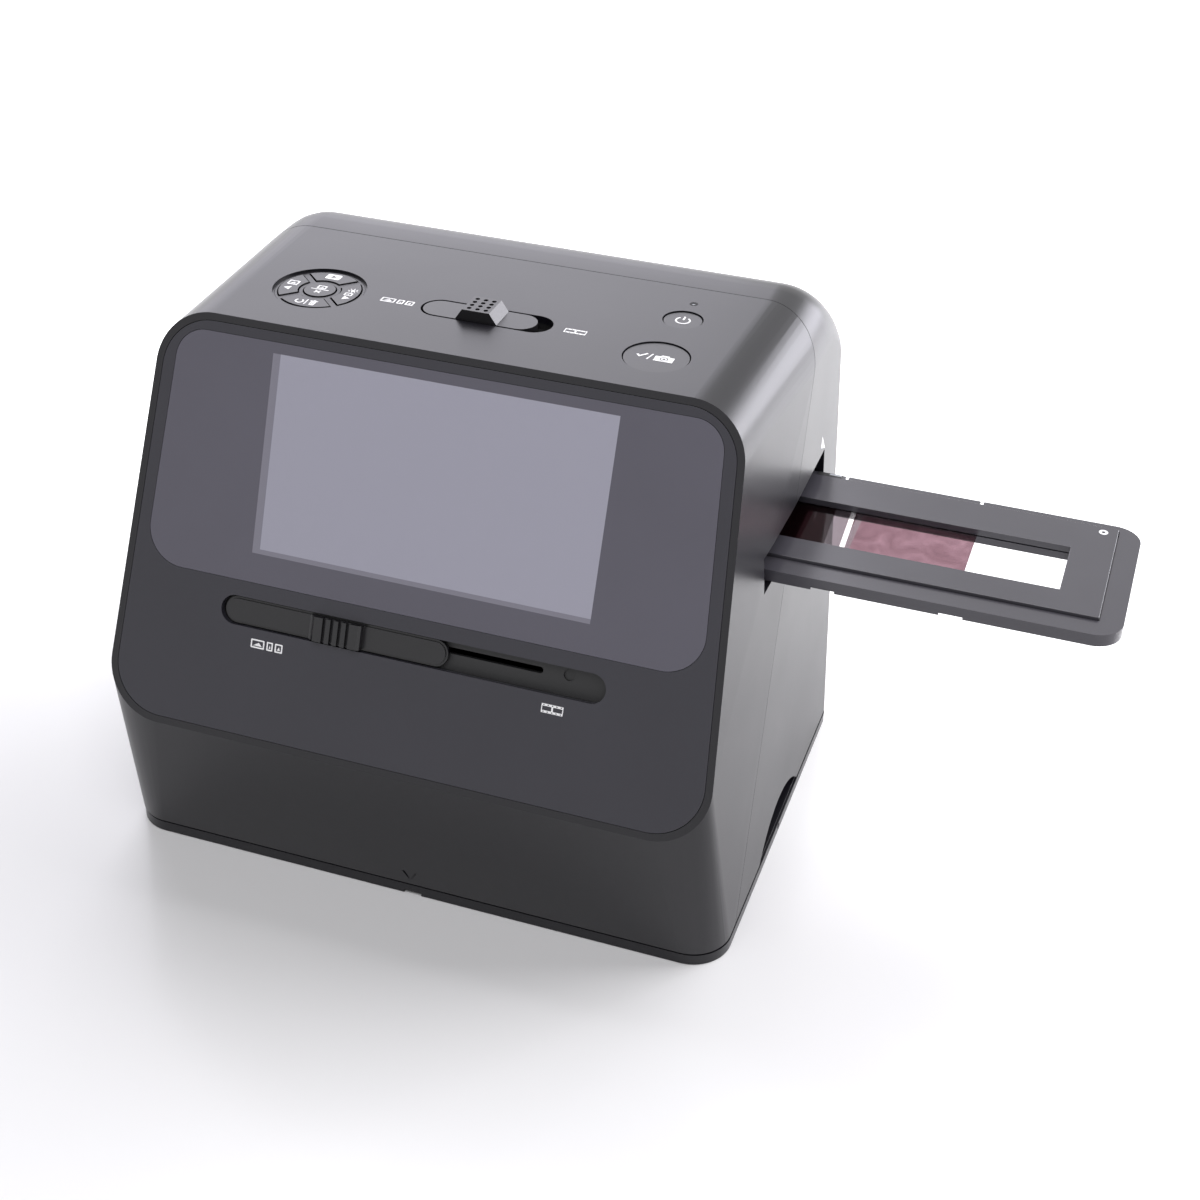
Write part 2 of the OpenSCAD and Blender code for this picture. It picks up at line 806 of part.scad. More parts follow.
module backlight_board() {
    color("SeaGreen")
    translate([carriage_x, axis_y, carriage_bottom + 2]) {
        box(-carriage_half + 2.3, carriage_half - 2.3, -rod_reach + 6.3, rod_reach - 6.3, 0, 1.2);
        for (x = [-12, 0, 12], y = [-10, 0, 10])
            box(x - 1.5, x + 1.5, y - 1.5, y + 1.5, 1.1, 1.9);
    }
}

module backlight_diffuser() {
    color("White")
    translate([carriage_x, axis_y, carriage_top])
        box(-carriage_half, carriage_half, -rod_reach + 4, rod_reach - 4, 0, 1.8);
}

module guide_rods() {
    color("Silver")
    for (side = [-1, 1])
        translate([-bracket_x - 2.5, axis_y + side * rod_reach, rod_z])
            rotate([0, 90, 0])
                cylinder(h = 2 * bracket_x + 5, r = rod_radius, $fn = mid);
}

module rod_bracket(side) {
    color("DimGray")
    difference() {
        box(min(side * (bracket_x - 2.5), side * (bracket_x + 2.5)),
            max(side * (bracket_x - 2.5), side * (bracket_x + 2.5)),
            axis_y - rod_reach - 5, axis_y + rod_reach + 5, rod_z - 10, guide_bottom);
        for (s = [-1, 1])
            translate([side * bracket_x - 10, axis_y + s * rod_reach, rod_z])
                rotate([0, 90, 0])
                    cylinder(h = 20, r = rod_radius, $fn = mid);
    }
}

module rod_bracket_left() {
    rod_bracket(-1);
}

module rod_bracket_right() {
    rod_bracket(1);
}

module photo_light(side) {
    color("White")
    difference() {
        box(min(side * (bracket_x - 6), side * (bracket_x + 3)),
            max(side * (bracket_x - 6), side * (bracket_x + 3)), axis_y - 28, axis_y + 28,
            rod_z - 16, rod_z - 10);
        box(min(side * (bracket_x - 4.5), side * (bracket_x + 1.5)),
            max(side * (bracket_x - 4.5), side * (bracket_x + 1.5)), axis_y - 26, axis_y + 26,
            rod_z - 17, rod_z - 13);
    }
}

module photo_light_left() {
    photo_light(-1);
}

module photo_light_right() {
    photo_light(1);
}

// ---- film path ----

module film_guide() {
    color("Gray")
    difference() {
        union() {
            box(-guide_half, guide_half, holder_front - rail_gap - rail_width,
                holder_back + rail_gap + rail_width, guide_bottom, guide_floor_top);
            box(-guide_half, guide_half, holder_front - rail_gap - rail_width,
                holder_front - rail_gap, guide_bottom, rail_top);
            box(-guide_half, guide_half, holder_back + rail_gap,
                holder_back + rail_gap + rail_width, guide_bottom, rail_top);
            box(-guide_half, guide_half, holder_front - rail_gap - 0.1, holder_front + 2,
                holder_z + holder_base_height + 0.4, rail_top);
            box(-guide_half, guide_half, holder_back - 2, holder_back + rail_gap + 0.1,
                holder_z + holder_base_height + 0.4, rail_top);
        }
        box(-27, 27, axis_y - 20, axis_y + 20, guide_bottom - 1, guide_floor_top + 1);
        for (x = [-guide_screw_x, guide_screw_x], y = [-10, 42]) {
            rod(x, y, guide_bottom - 1, rail_top + 1, 1.1, coarse);
            rod(x, y, guide_floor_top - 1.2, rail_top + 1, 2.1, coarse);
        }
        translate([17.3, holder_front + 1, holder_z + 1.2])
            rotate([90, 0, 0])
                cylinder(h = 10, r = 1.05, $fn = coarse);
    }
}

module guide_screws() {
    color("Silver")
    for (x = [-guide_screw_x, guide_screw_x], y = [-10, 42]) {
        difference() {
            union() {
                rod(x, y, guide_floor_top - 1.2, guide_floor_top - 0.3, 1.9, coarse);
                rod(x, y, guide_bottom - 5, guide_floor_top - 1, 0.9, coarse);
            }
            translate([x, y, guide_floor_top])
                cube([2.4, 0.5, 1.2], center = true);
        }
    }
}

module click_plunger() {
    color("Silver")
    translate([17.3, holder_front - rail_gap + 0.15, holder_z + 1.2])
        rotate([90, 0, 0])
            cylinder(h = rail_width + 0.1, r = 1, $fn = coarse);
}

module optics_frame() {
    front = holder_front - rail_gap - rail_width;
    back = holder_back + rail_gap + rail_width;
    color("DimGray")
    difference() {
        union() {
            box(-40, 40, front, back, frame_low, frame_high);
            for (x = [-40, 34])
                for (y = [front, back - rail_width])
                    box(x, x + 6, y, y + rail_width, rail_top, frame_low + 0.5);
        }
        rod(0, axis_y, frame_low - 1, frame_high + 1, 12.05, fine);
    }
}

module lens_barrel() {
    color("Black")
    difference() {
        union() {
            rod(0, axis_y, frame_low - 6, frame_high + 0.5, 12, fine);
            rod(0, axis_y, frame_high, frame_high + 2, 17, fine);
            rod(0, axis_y, frame_high + 1, barrel_top, barrel_radius, fine);
        }
        rod(0, axis_y, frame_low - 10, barrel_top + 1, 9, fine);
    }
}

module lens_glass() {
    color("LightCyan")
    rod(0, axis_y, frame_low - 5, frame_low - 1, 9, fine);
}

module focus_ring() {
    ring_in = barrel_radius + ring_gap;
    color("DarkGray")
    translate([0, axis_y, 0])
        difference() {
            union() {
                rod(0, 0, ring_bottom, ring_top, ring_in + 3.2, fine);
                rotate([0, 0, -asin(top_travel / 2 / lever_length)])
                    box(-4.2, 4.2, -lever_length - 3.5, -ring_in - 1, ring_bottom, ring_top);
            }
            rod(0, 0, ring_bottom - 1, ring_top + 1, ring_in, fine);
            rotate([0, 0, -asin(top_travel / 2 / lever_length)])
                box(-pin_radius - 0.3, pin_radius + 0.3, -lever_length - 6, -lever_length + 2.1,
                    ring_bottom - 1, ring_top + 1);
        }
}

module sensor_board() {
    color("SeaGreen")
    box(-18, 18, axis_y - 17.6, axis_y + 18, barrel_top, barrel_top + board_thick);
}

module image_sensor() {
    color("Black")
    box(-4, 4, axis_y - 4, axis_y + 4, barrel_top - 1.2, barrel_top);
}

module sensor_ribbon() {
    // folded from the sensor's board down to the board at the back
    color("White")
    along_x(-8, 8)
        polygon([
            [axis_y + 14, barrel_top + board_thick],
            [main_y - 0.6, barrel_top + board_thick],
            [main_y - 0.6, 88],
            [main_y, 88],
            [main_y, barrel_top + board_thick + 0.3],
            [axis_y + 14, barrel_top + board_thick + 0.3]
        ]);
}

// ---- top slider ----

module top_slider_track() {
    x0 = top_slot_x - top_slot_length / 2;
    x1 = top_slot_x + top_slot_length / 2;
    color("Black")
    difference() {
        box(x0 - 3, x1 + 3, top_slot_y - 8.6, top_slot_y + 8.6, top_floor - 2, top_inside);
        translate([0, 0, top_floor])
            linear_extrude(5)
                stadium(x0, x1, top_slot_y, top_slot_width);
        translate([0, 0, top_floor - 3])
            linear_extrude(5)
                stadium(pin_x - pin_radius - 0.3, pin_x + top_travel + pin_radius + 0.3,
                    top_slot_y, 2 * pin_radius + 0.6);
    }
}

module top_slider() {
    x0 = top_plate_x - top_slider_length / 2;
    x1 = top_plate_x + top_slider_length / 2;
    w = top_slider_width;
    grip_x = top_plate_x + 0.6;
    color("Gray")
    difference() {
        union() {
            translate([0, 0, top_plate_bottom])
                linear_extrude(top_plate_top - top_plate_bottom)
                    stadium(x0, x1, top_slot_y, w);
            translate([grip_x, top_slot_y + w / 2 - 0.05, top_plate_top])
                rotate([90, 0, 0])
                    linear_extrude(w - 0.1)
                        polygon([
                            [-6.7, -1],
                            [6.7, -1],
                            [6.7, 0],
                            [4.4, top_grip_rise],
                            [-4.4, top_grip_rise],
                            [-6.7, 0]
                        ]);
        }
        for (i = [-1 : 1], j = [-1.5 : 1 : 1.5])
            rod(grip_x + i * 2.7, top_slot_y + j * 2.3, top_plate_top + top_grip_rise - 0.9,
                top_plate_top + top_grip_rise + 1, 0.72, 24);
    }
}

module focus_pin() {
    color("Silver")
    rod(pin_x, top_slot_y, pin_bottom, top_plate_bottom, pin_radius);
}

// ---- keys ----

module pad_ring(inner, outer, z0, z1, grow) {
    intersection() {
        difference() {
            rod(0, 0, z0, z1, outer, fine);
            rod(0, 0, z0 - 1, z1 + 1, inner, fine);
        }
        translate([0, 0, z0])
            linear_extrude(z1 - z0)
                key_wedge(grow);
    }
}

module pad_key(turn) {
    color("Gray")
    translate([pad_x, pad_y, 0])
        rotate([0, 0, turn]) {
            pad_ring(pad_inner, pad_radius, flange_top - 0.2, height - dish_depth + pad_rise, pad_web);
            pad_ring(pad_inner - 0.6, pad_radius + 1.4, flange_bottom, flange_top, 0.2);
            rod((pad_inner + pad_radius) / 2, 0, stem_bottom, flange_bottom + 0.2, 1.5, coarse);
        }
}

module key_right() {
    pad_key(0);
}

module key_up() {
    pad_key(90);
}

module key_left() {
    pad_key(180);
}

module key_down() {
    pad_key(270);
}

module round_key(x, y, r, flange, top = key_top) {
    rod(x, y, flange_top - 0.2, top, r, fine);
    rod(x, y, flange_bottom, flange_top, r + flange, fine);
    rod(x, y, stem_bottom, flange_bottom + 0.2, 1.5, coarse);
}

module key_centre() {
    color("Gray")
    round_key(pad_x, pad_y, centre_radius, 0.9, height - dish_depth + pad_rise);
}

module power_key() {
    color("Gray")
    round_key(power_x, power_y, power_radius, 1.2);
}

module shutter_key() {
    color("Gray")
    round_key(shutter_x, shutter_y, shutter_radius, 1.3);
}

module key_bezel() {
    color("Black")
    translate([pad_x, pad_y, 0])
        difference() {
            rod(0, 0, top_inside, height - dish_depth, bezel_radius, fine);
            rod(0, 0, top_inside - 1, height, centre_radius + key_gap, fine);
            for (turn = [0, 90, 180, 270])
                rotate([0, 0, turn])
                    pad_ring(pad_inner - key_gap, pad_radius + key_gap, top_inside - 1, height,
                        pad_web - key_gap);
        }
}

module pad_board() {
    color("SeaGreen")
    difference() {
        box(pad_x - pad_board_half, pad_x + pad_board_half, pad_y - pad_board_half,
            pad_y + pad_board_half, board_top - board_thick, board_top);
        for (sx = [-1, 1], sy = [-1, 1])
            rod(pad_x + sx * pad_screw, pad_y + sy * pad_screw, board_top - 3, board_top + 1, 1, coarse);
    }
}

module shutter_board() {
    color("SeaGreen")
    difference() {
        box(shutter_screw_x - 14, shutter_screw_x + 14, shutter_y - 9.8, light_y + 4.2,
            board_top - board_thick, board_top);
        for (side = [-1, 1])
            rod(shutter_screw_x + side * shutter_screw_reach, shutter_screw_y, board_top - 3,
                board_top + 1, 1, coarse);
    }
}

module one_switch(x, y) {
    box(x - 2.6, x + 2.6, y - 2.6, y + 2.6, board_top, switch_top - 1);
    rod(x, y, switch_top - 1.2, switch_top, 1.4, coarse);
}

module key_switches() {
    reach = (pad_inner + pad_radius) / 2;
    color("Silver") {
        one_switch(pad_x, pad_y);
        one_switch(pad_x + reach, pad_y);
        one_switch(pad_x - reach, pad_y);
        one_switch(pad_x, pad_y + reach);
        one_switch(pad_x, pad_y - reach);
        one_switch(power_x, power_y);
        one_switch(shutter_x, shutter_y);
    }
}

module status_light() {
    color("White")
    rod(light_x, light_y, board_top, height - 0.2, 0.9, coarse);
}

module board_screws() {
    color("Silver") {
        for (sx = [-1, 1], sy = [-1, 1])
            small_screw(pad_x + sx * pad_screw, pad_y + sy * pad_screw);
        for (side = [-1, 1])
            small_screw(shutter_screw_x + side * shutter_screw_reach, shutter_screw_y);
        for (x = [-68, 68], z = [27, 88])
            translate([x, main_y, z])
                rotate([-90, 0, 0])
                    difference() {
                        union() {
                            rod(0, 0, -1.4, 0, 2.2, coarse);
                            rod(0, 0, -0.2, 5, 0.9, coarse);
                        }
                        translate([0, 0, -1.4])
                            cube([2.8, 0.5, 1], center = true);
                    }
    }
}

module small_screw(x, y) {
    low = board_top - board_thick;
    difference() {
        union() {
            rod(x, y, low - 1.2, low, 2, coarse);
            rod(x, y, low - 0.2, low + 5, 0.8, coarse);
        }
        translate([x, y, low - 1.2])
            cube([2.6, 0.5, 1], center = true);
    }
}

// ---- board and ports at the back ----

module main_board() {
    color("SeaGreen")
    difference() {
        union() {
            box(-75, 75, main_y, main_y + board_thick, 20, 95);
            box(30, 46, main_y - 1.2, main_y + 0.1, 55, 71);
            box(-30, -22, main_y - 1, main_y + 0.1, 40, 52);
        }
        for (x = [-68, 68], z = [27, 88])
            translate([x, main_y - 1, z])
                rotate([-90, 0, 0])
                    cylinder(h = 5, r = 1, $fn = coarse);
    }
}

module socket(x, w, h, depth) {
    color("Silver")
    difference() {
        box(x - w / 2, x + w / 2, main_y + board_thick, back_y - 0.5, port_z - h / 2, port_z + h / 2);
        box(x - w / 2 + 0.5, x + w / 2 - 0.5, back_y - depth, back_y + 1,
            port_z - h / 2 + 0.5, port_z + h / 2 - 0.5);
    }
}

module usb_socket() {
    socket(usb_x, 9, 3.4, 7);
}

module hdmi_socket() {
    socket(hdmi_x, 11.4, 3.4, 7);
}

module card_socket() {
    socket(card_x, 26, 3.2, 7.5);
}

// ---- film holder ----

module holder_window(z0, z1) {
    box(window_left, window_right, axis_y - film_window_width / 2,
        axis_y + film_window_width / 2, z0, z1);
}

module holder_base() {
    top = holder_z + holder_base_height;
    color("DimGray")
    difference() {
        translate([0, 0, holder_z])
            linear_extrude(holder_base_height)
                rounded(holder_left, holder_right, holder_front, holder_back, 8.5);
        box(lid_left - 0.3, lid_right + 0.3, holder_front + 7.7, holder_back - 3.2,
            top - 1.2, top + 1);
        holder_window(holder_z - 1, top + 1);
        box(window_left - 4, window_right + 4, axis_y - film_width / 2 - 0.15,
            axis_y + film_width / 2 + 0.15, top - 1.6, top + 1);
        for (i = [0 : 4])
            box(window_right - 32.5 - i * notch_pitch, window_right - 25.3 - i * notch_pitch,
                holder_front - 1, holder_front + 1.2, holder_z - 1, holder_z + 1.2);
        for (i = [0 : 3])
            box(holder_right - 51.4 - i * 44.4, holder_right - 50.4 - i * 44.4, holder_back - 2,
                holder_back + 1, top - 1.2, top + 1);
    }
}

module holder_lid() {
    color("Gray")
    difference() {
        box(lid_left, lid_right, holder_front + 8, holder_back - 3.5,
            holder_z + holder_base_height - 1.2, holder_z + holder_height);
        holder_window(holder_z, holder_z + 20);
    }
}

module film_strip() {
    low = holder_z + holder_base_height - 1.6;
    color("SaddleBrown")
    box(film_left, film_left + film_length, axis_y - film_width / 2, axis_y + film_width / 2,
        low, low + 0.25);
}

photo_tray();
tray_feet();
front_cover();
rear_cover();
base_frame();
cover_screws();
front_panel();
screen_window();
lcd_panel();
lcd_frame();
front_slider_track();
front_slider();
slider_arm();
backlight_carriage();
backlight_board();
backlight_diffuser();
guide_rods();
rod_bracket_left();
rod_bracket_right();
photo_light_left();
photo_light_right();
film_guide();
guide_screws();
click_plunger();
optics_frame();
lens_barrel();
lens_glass();
focus_ring();
sensor_board();
image_sensor();
sensor_ribbon();
top_slider_track();
top_slider();
focus_pin();
key_bezel();
key_up();
key_down();
key_left();
key_right();
key_centre();
power_key();
shutter_key();
pad_board();
shutter_board();
key_switches();
status_light();
board_screws();
main_board();
usb_socket();
hdmi_socket();
card_socket();
holder_base();
holder_lid();
film_strip();
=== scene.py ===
"""Looks of a film and print scanner: matt grey covers, a glossy screen panel, printed keys and sliders,
and a film holder that stands out of its right side.

Metres. X is the width (right as seen from the front), Y runs to the back, Z is up. The origin is the middle
of the footprint, on the surface the scanner stands on.
"""
import json
import math

import bmesh
import bpy
from mathutils import Matrix, Vector
from mathutils.geometry import tessellate_polygon


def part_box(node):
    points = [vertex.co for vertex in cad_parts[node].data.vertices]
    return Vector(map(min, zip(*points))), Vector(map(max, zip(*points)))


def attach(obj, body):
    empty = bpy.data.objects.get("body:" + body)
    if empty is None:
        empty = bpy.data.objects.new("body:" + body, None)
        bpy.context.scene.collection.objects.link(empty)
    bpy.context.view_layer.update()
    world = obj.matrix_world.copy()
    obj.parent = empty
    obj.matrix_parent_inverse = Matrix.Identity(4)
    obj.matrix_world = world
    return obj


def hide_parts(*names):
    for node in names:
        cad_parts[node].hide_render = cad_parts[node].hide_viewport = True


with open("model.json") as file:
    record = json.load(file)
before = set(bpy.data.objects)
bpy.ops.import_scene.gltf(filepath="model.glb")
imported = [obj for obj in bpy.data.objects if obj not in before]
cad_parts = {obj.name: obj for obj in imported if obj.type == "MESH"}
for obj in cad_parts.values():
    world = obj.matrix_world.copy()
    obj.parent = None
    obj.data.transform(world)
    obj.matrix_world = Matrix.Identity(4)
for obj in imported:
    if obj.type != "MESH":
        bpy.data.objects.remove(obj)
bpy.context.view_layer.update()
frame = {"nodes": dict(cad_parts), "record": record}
NODES = frame["nodes"]
RECORD = frame["record"]
BODY_OF = {n: body for body, names in RECORD["behaviour"]["bodies"].items() for n in names}
SLOT_OF = {part["node"]: part["material_slot"] for part in RECORD["subparts"]}

MM = 0.001
scene = bpy.context.scene
scene.view_settings.view_transform = "Standard"


# ---- measures taken from the frame ----

PANEL_LEAN = math.radians(22.1)
PANEL_UP = Vector((0, math.sin(PANEL_LEAN), math.cos(PANEL_LEAN)))
PANEL_OUT = Vector((0, -math.cos(PANEL_LEAN), math.sin(PANEL_LEAN)))
KNEE = Vector((0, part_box("front_cover")[0].y, 57.15 * MM))
TOP = 178.6 * MM
KEY_TOP = 178.25 * MM
PAD_TOP = 178.1 * MM
HALF_WIDTH = 104.5 * MM
REAR_SLOPE = 0.047
FILM_AXIS_Y = 13.75 * MM
LID_TOP = 117.2 * MM

# the guide seats in the front cover, and its side: where it is, and its lean along Y and Z
SEAT_REACH = 99.4 * MM
SEAT_MARGIN = 0.05 * MM
SEAT_Y = (-20.5 * MM, -3.5 * MM)
SEAT_Z = (103 * MM, 110 * MM)
SEAT_INSIDE = 98 * MM
SIDE_AT = Vector((98.77, -21.83, 109.76)) * MM
SIDE_LEAN_Y = 0.028
SIDE_LEAN_Z = 0.063
SIDE_COSINE = 0.998

# the top slider's plate, and how far it is drawn in and down
PLATE_TOP = 178.8 * MM
PLATE_THICK = 4.35 * MM
PLATE_CORE_X = (-13.65 * MM, 12.65 * MM)
PLATE_CORE_Y = -6.7 * MM
PLATE_RADIUS = 5.5 * MM
PLATE_RIM = 0.2 * MM
PLATE_MARGIN = 0.02 * MM
PLATE_IN = 0.3 * MM
PLATE_DOWN = 0.2 * MM


def place_at(spot, across, up, out):
    """Turns flat millimetres into a place at the spot, on a face with these three axes."""
    place = Matrix.Identity(4)
    for row in range(3):
        place[row] = (across[row], up[row], out[row], spot[row])
    return place @ Matrix.Scale(MM, 4)


def on_top(x, y, z=TOP):
    """A place on the top face, or level with it at another height."""
    return place_at((x * MM, y * MM, z), (1, 0, 0), (0, 1, 0), (0, 0, 1))


def on_panel(x, up):
    """A place on the leaning panel: x across, up from the knee."""
    return place_at(KNEE + Vector((x * MM, 0, 0)) + PANEL_UP * up * MM, (1, 0, 0), PANEL_UP, PANEL_OUT)


def on_right_side(y, z):
    """A place on the rear cover's right side: x runs to the back, y up."""
    spot = (HALF_WIDTH - REAR_SLOPE * z * MM, y * MM, z * MM)
    up = Vector((-REAR_SLOPE, 0, 1)).normalized()
    out = Vector((1, 0, REAR_SLOPE)).normalized()
    return place_at(spot, (0, 1, 0), up, out)


# ---- node trees ----

def feed(tree, node, inputs):
    """Gives a node's inputs plain values, or what other nodes put out."""
    for name, value in inputs.items():
        if isinstance(value, bpy.types.NodeSocket):
            tree.links.new(value, node.inputs[name])
        else:
            node.inputs[name].default_value = value


def add_node(tree, kind, inputs):
    node = tree.nodes.new(kind)
    feed(tree, node, inputs)
    return node


def math_node(tree, operation, *values):
    """A math node of one or two sockets or numbers, as its output."""
    node = tree.nodes.new("ShaderNodeMath")
    node.operation = operation
    feed(tree, node, dict(enumerate(values)))
    return node.outputs[0]


def vector_math(tree, operation, inputs):
    node = tree.nodes.new("ShaderNodeVectorMath")
    node.operation = operation
    feed(tree, node, inputs)
    return node


def range_node(tree, value, smooth=False, **ends):
    """Maps a socket to another range; the ends are from_min, from_max, to_min and to_max."""
    node = tree.nodes.new("ShaderNodeMapRange")
    node.interpolation_type = "SMOOTHSTEP" if smooth else "LINEAR"
    feed(tree, node, {"Value": value, **{name.replace("_", " ").title(): end for name, end in ends.items()}})
    return node.outputs[0]


def colour_mix(tree, factor, first, second):
    node = tree.nodes.new("ShaderNodeMix")
    node.data_type = "RGBA"
    feed(tree, node, {"Factor": factor, "A": first, "B": second})
    return node.outputs["Result"]


def noise_node(tree, place, **settings):
    inputs = {"Vector": place, **{name.title(): value for name, value in settings.items()}}
    return add_node(tree, "ShaderNodeTexNoise", inputs).outputs["Fac"]


def object_place(tree):
    return tree.nodes.new("ShaderNodeTexCoord").outputs["Object"]


def axes_of(tree, place):
    return add_node(tree, "ShaderNodeSeparateXYZ", {0: place}).outputs


# ---- camera, floor and light ----

CAMERA_PLACE = Vector((201.9, -498.2, 427.06)) * MM
CAMERA_YAW, CAMERA_PITCH, CAMERA_ROLL = (math.radians(a) for a in (-18.215, -33.519, 1.484))
CAMERA_SENSOR = 36
CAMERA_LENS = 57.244
CAMERA_NEAR = 0.02
CAMERA_FAR = 50

FLOOR_REACH = 6.0
FLOOR_COLOUR = (0.86, 0.86, 0.8643, 1)
FLOOR_ROUGHNESS = 0.2
FLOOR_SPECULAR = 0.3
FLOOR_GLOW = 1.0
SWEEP_STARTS = -0.1
SWEEP_FULL = 0.35
PALE_STARTS = 0.6
PALE_FULL = 1.8
WORLD_LEVEL = 0.25
WORLD_SEEN = 1.0
WHITE = (1, 1, 1, 1)

LIGHT_AIM = Vector((0, 0, 0.1))
LIGHT_REACH = 2.2
COOL_WHITE = (0.985, 0.975, 1)
# name, degrees right of the back, degrees up, width, height, level and colour of each soft light
SOFTBOXES = (
    ("back_left", -32, 26, 1.7, 1.5, 1.85, (0.9, 0.88, 1)),
    ("back_high", -5, 62, 1.8, 1.2, 2.6, COOL_WHITE),
    ("back_right_low", 32, 10, 1.1, 0.7, 6.5, (0.92, 0.91, 1)),
    ("right", 58, 22, 1.4, 1.2, 8.2, COOL_WHITE),
    ("front_high", 165, 60, 1.6, 1.2, 4.0, COOL_WHITE))


def direction(turn, rise):
    """The way that lies turn radians right of the back and rise radians up."""
    return Vector((math.sin(turn) * math.cos(rise), math.cos(turn) * math.cos(rise), math.sin(rise)))


def make_camera():
    ahead = direction(CAMERA_YAW, CAMERA_PITCH)
    right = Vector((math.cos(CAMERA_YAW), -math.sin(CAMERA_YAW), 0))
    up = right.cross(ahead)
    right_rolled = right * math.cos(CAMERA_ROLL) + up * math.sin(CAMERA_ROLL)
    up_rolled = up * math.cos(CAMERA_ROLL) - right * math.sin(CAMERA_ROLL)
    data = bpy.data.cameras.new("view")
    data.sensor_width = CAMERA_SENSOR
    data.lens = CAMERA_LENS
    data.clip_start = CAMERA_NEAR
    data.clip_end = CAMERA_FAR
    camera = bpy.data.objects.new("view", data)
    turn = Matrix((right_rolled, up_rolled, -ahead)).transposed().to_4x4()
    camera.matrix_world = Matrix.Translation(CAMERA_PLACE) @ turn
    scene.collection.objects.link(camera)
    scene.camera = camera


def seen_rays(tree):
    """1 for the rays that show a background: the camera's own, mirrored ones and those through glass."""
    rays = tree.nodes.new("ShaderNodeLightPath").outputs
    either = math_node(tree, "MAXIMUM", rays["Is Camera Ray"], rays["Is Glossy Ray"])
    return math_node(tree, "MAXIMUM", either, rays["Is Transmission Ray"])


def floor_material():
    """A white floor that goes on into the white background behind and far from the scanner."""
    material = bpy.data.materials.new("white_floor")
    material.use_nodes = True
    tree = material.node_tree
    shader = tree.nodes["Principled BSDF"]
    feed(tree, shader, {"Base Color": FLOOR_COLOUR, "Roughness": FLOOR_ROUGHNESS,
                        "Specular IOR Level": FLOOR_SPECULAR})
    place = object_place(tree)
    behind = range_node(tree, axes_of(tree, place)["Y"], smooth=True, from_min=SWEEP_STARTS,
                        from_max=SWEEP_FULL, to_max=FLOOR_GLOW)
    distance = vector_math(tree, "LENGTH", {0: place}).outputs["Value"]
    far = range_node(tree, distance, smooth=True, from_min=PALE_STARTS, from_max=PALE_FULL,
                     to_max=FLOOR_GLOW)
    level = math_node(tree, "MULTIPLY", seen_rays(tree), math_node(tree, "MAXIMUM", behind, far))
    glow = add_node(tree, "ShaderNodeEmission", {"Color": WHITE, "Strength": level})
    both = add_node(tree, "ShaderNodeAddShader", {0: shader.outputs[0], 1: glow.outputs[0]})
    feed(tree, tree.nodes["Material Output"], {"Surface": both.outputs[0]})
    return material


def make_floor():
    reach = FLOOR_REACH
    mesh = bpy.data.meshes.new("floor")
    mesh.from_pydata([(-reach, -reach, 0), (reach, -reach, 0), (reach, reach, 0), (-reach, reach, 0)], [],
                     [(0, 1, 2, 3)])
    mesh.materials.append(floor_material())
    floor = bpy.data.objects.new("floor", mesh)
    scene.collection.objects.link(floor)


def make_world():
    world = bpy.data.worlds.new("studio")
    scene.world = world
    world.use_nodes = True
    tree = world.node_tree
    level = range_node(tree, seen_rays(tree), to_min=WORLD_LEVEL, to_max=WORLD_SEEN)
    feed(tree, tree.nodes["Background"], {"Color": WHITE, "Strength": level})


def make_softbox(name, turn, rise, width, height, level, colour):
    """A soft light that looks at the scanner."""
    away = direction(math.radians(turn), math.radians(rise))
    data = bpy.data.lights.new(name, "AREA")
    data.shape = "RECTANGLE"
    data.size, data.size_y = width, height
    data.energy = math.pi * width * height * level
    data.color = colour
    light = bpy.data.objects.new(name, data)
    light.location = LIGHT_AIM + away * LIGHT_REACH
    light.rotation_euler = (-away).to_track_quat("-Z", "Y").to_euler()
    scene.collection.objects.link(light)


make_camera()
make_floor()
make_world()
for light_values in SOFTBOXES:
    make_softbox(*light_values)


# ---- shader groups ----

def group_node(tree, group, **values):
    node = tree.nodes.new("ShaderNodeGroup")
    node.node_tree = group
    feed(tree, node, {name.replace("_", " "): value for name, value in values.items()})
    return node


def new_group(name, inputs, outputs):
    group = bpy.data.node_groups.new(name, "ShaderNodeTree")
    for label, kind, value in inputs:
        socket = group.interface.new_socket(label, in_out="INPUT", socket_type="NodeSocket" + kind)
        socket.default_value = value
    for label, kind in outputs:
        group.interface.new_socket(label, in_out="OUTPUT", socket_type="NodeSocket" + kind)
    return group, group.nodes.new("NodeGroupInput").outputs, group.nodes.new("NodeGroupOutput")


def moulded_group():
    """A moulded plastic with a spark texture: a colour and a gloss that drift a little, and its grain."""
    group, given, out = new_group(
        "moulded_plastic",
        (("Colour", "Color", (0.1, 0.1, 0.1, 1)), ("Drift", "Float", 0.06), ("Gloss", "Float", 0.45),
         ("Grain size", "Float", 0.0004)),
        (("Colour", "Color"), ("Gloss", "Float"), ("Grain", "Float")))
    place = object_place(group)
    drift = range_node(group, noise_node(group, place, scale=26, detail=3), from_min=0.3, from_max=0.7,
                       to_min=math_node(group, "SUBTRACT", 1.0, given["Drift"]),
                       to_max=math_node(group, "ADD", 1.0, given["Drift"]))
    tint = vector_math(group, "SCALE", {0: given["Colour"], "Scale": drift})
    grain = noise_node(group, place, scale=math_node(group, "DIVIDE", 1.0, given["Grain size"]), detail=2)
    feed(group, out, {"Colour": tint.outputs[0], "Gloss": math_node(group, "MULTIPLY", given["Gloss"], drift),
                      "Grain": grain})
    return group


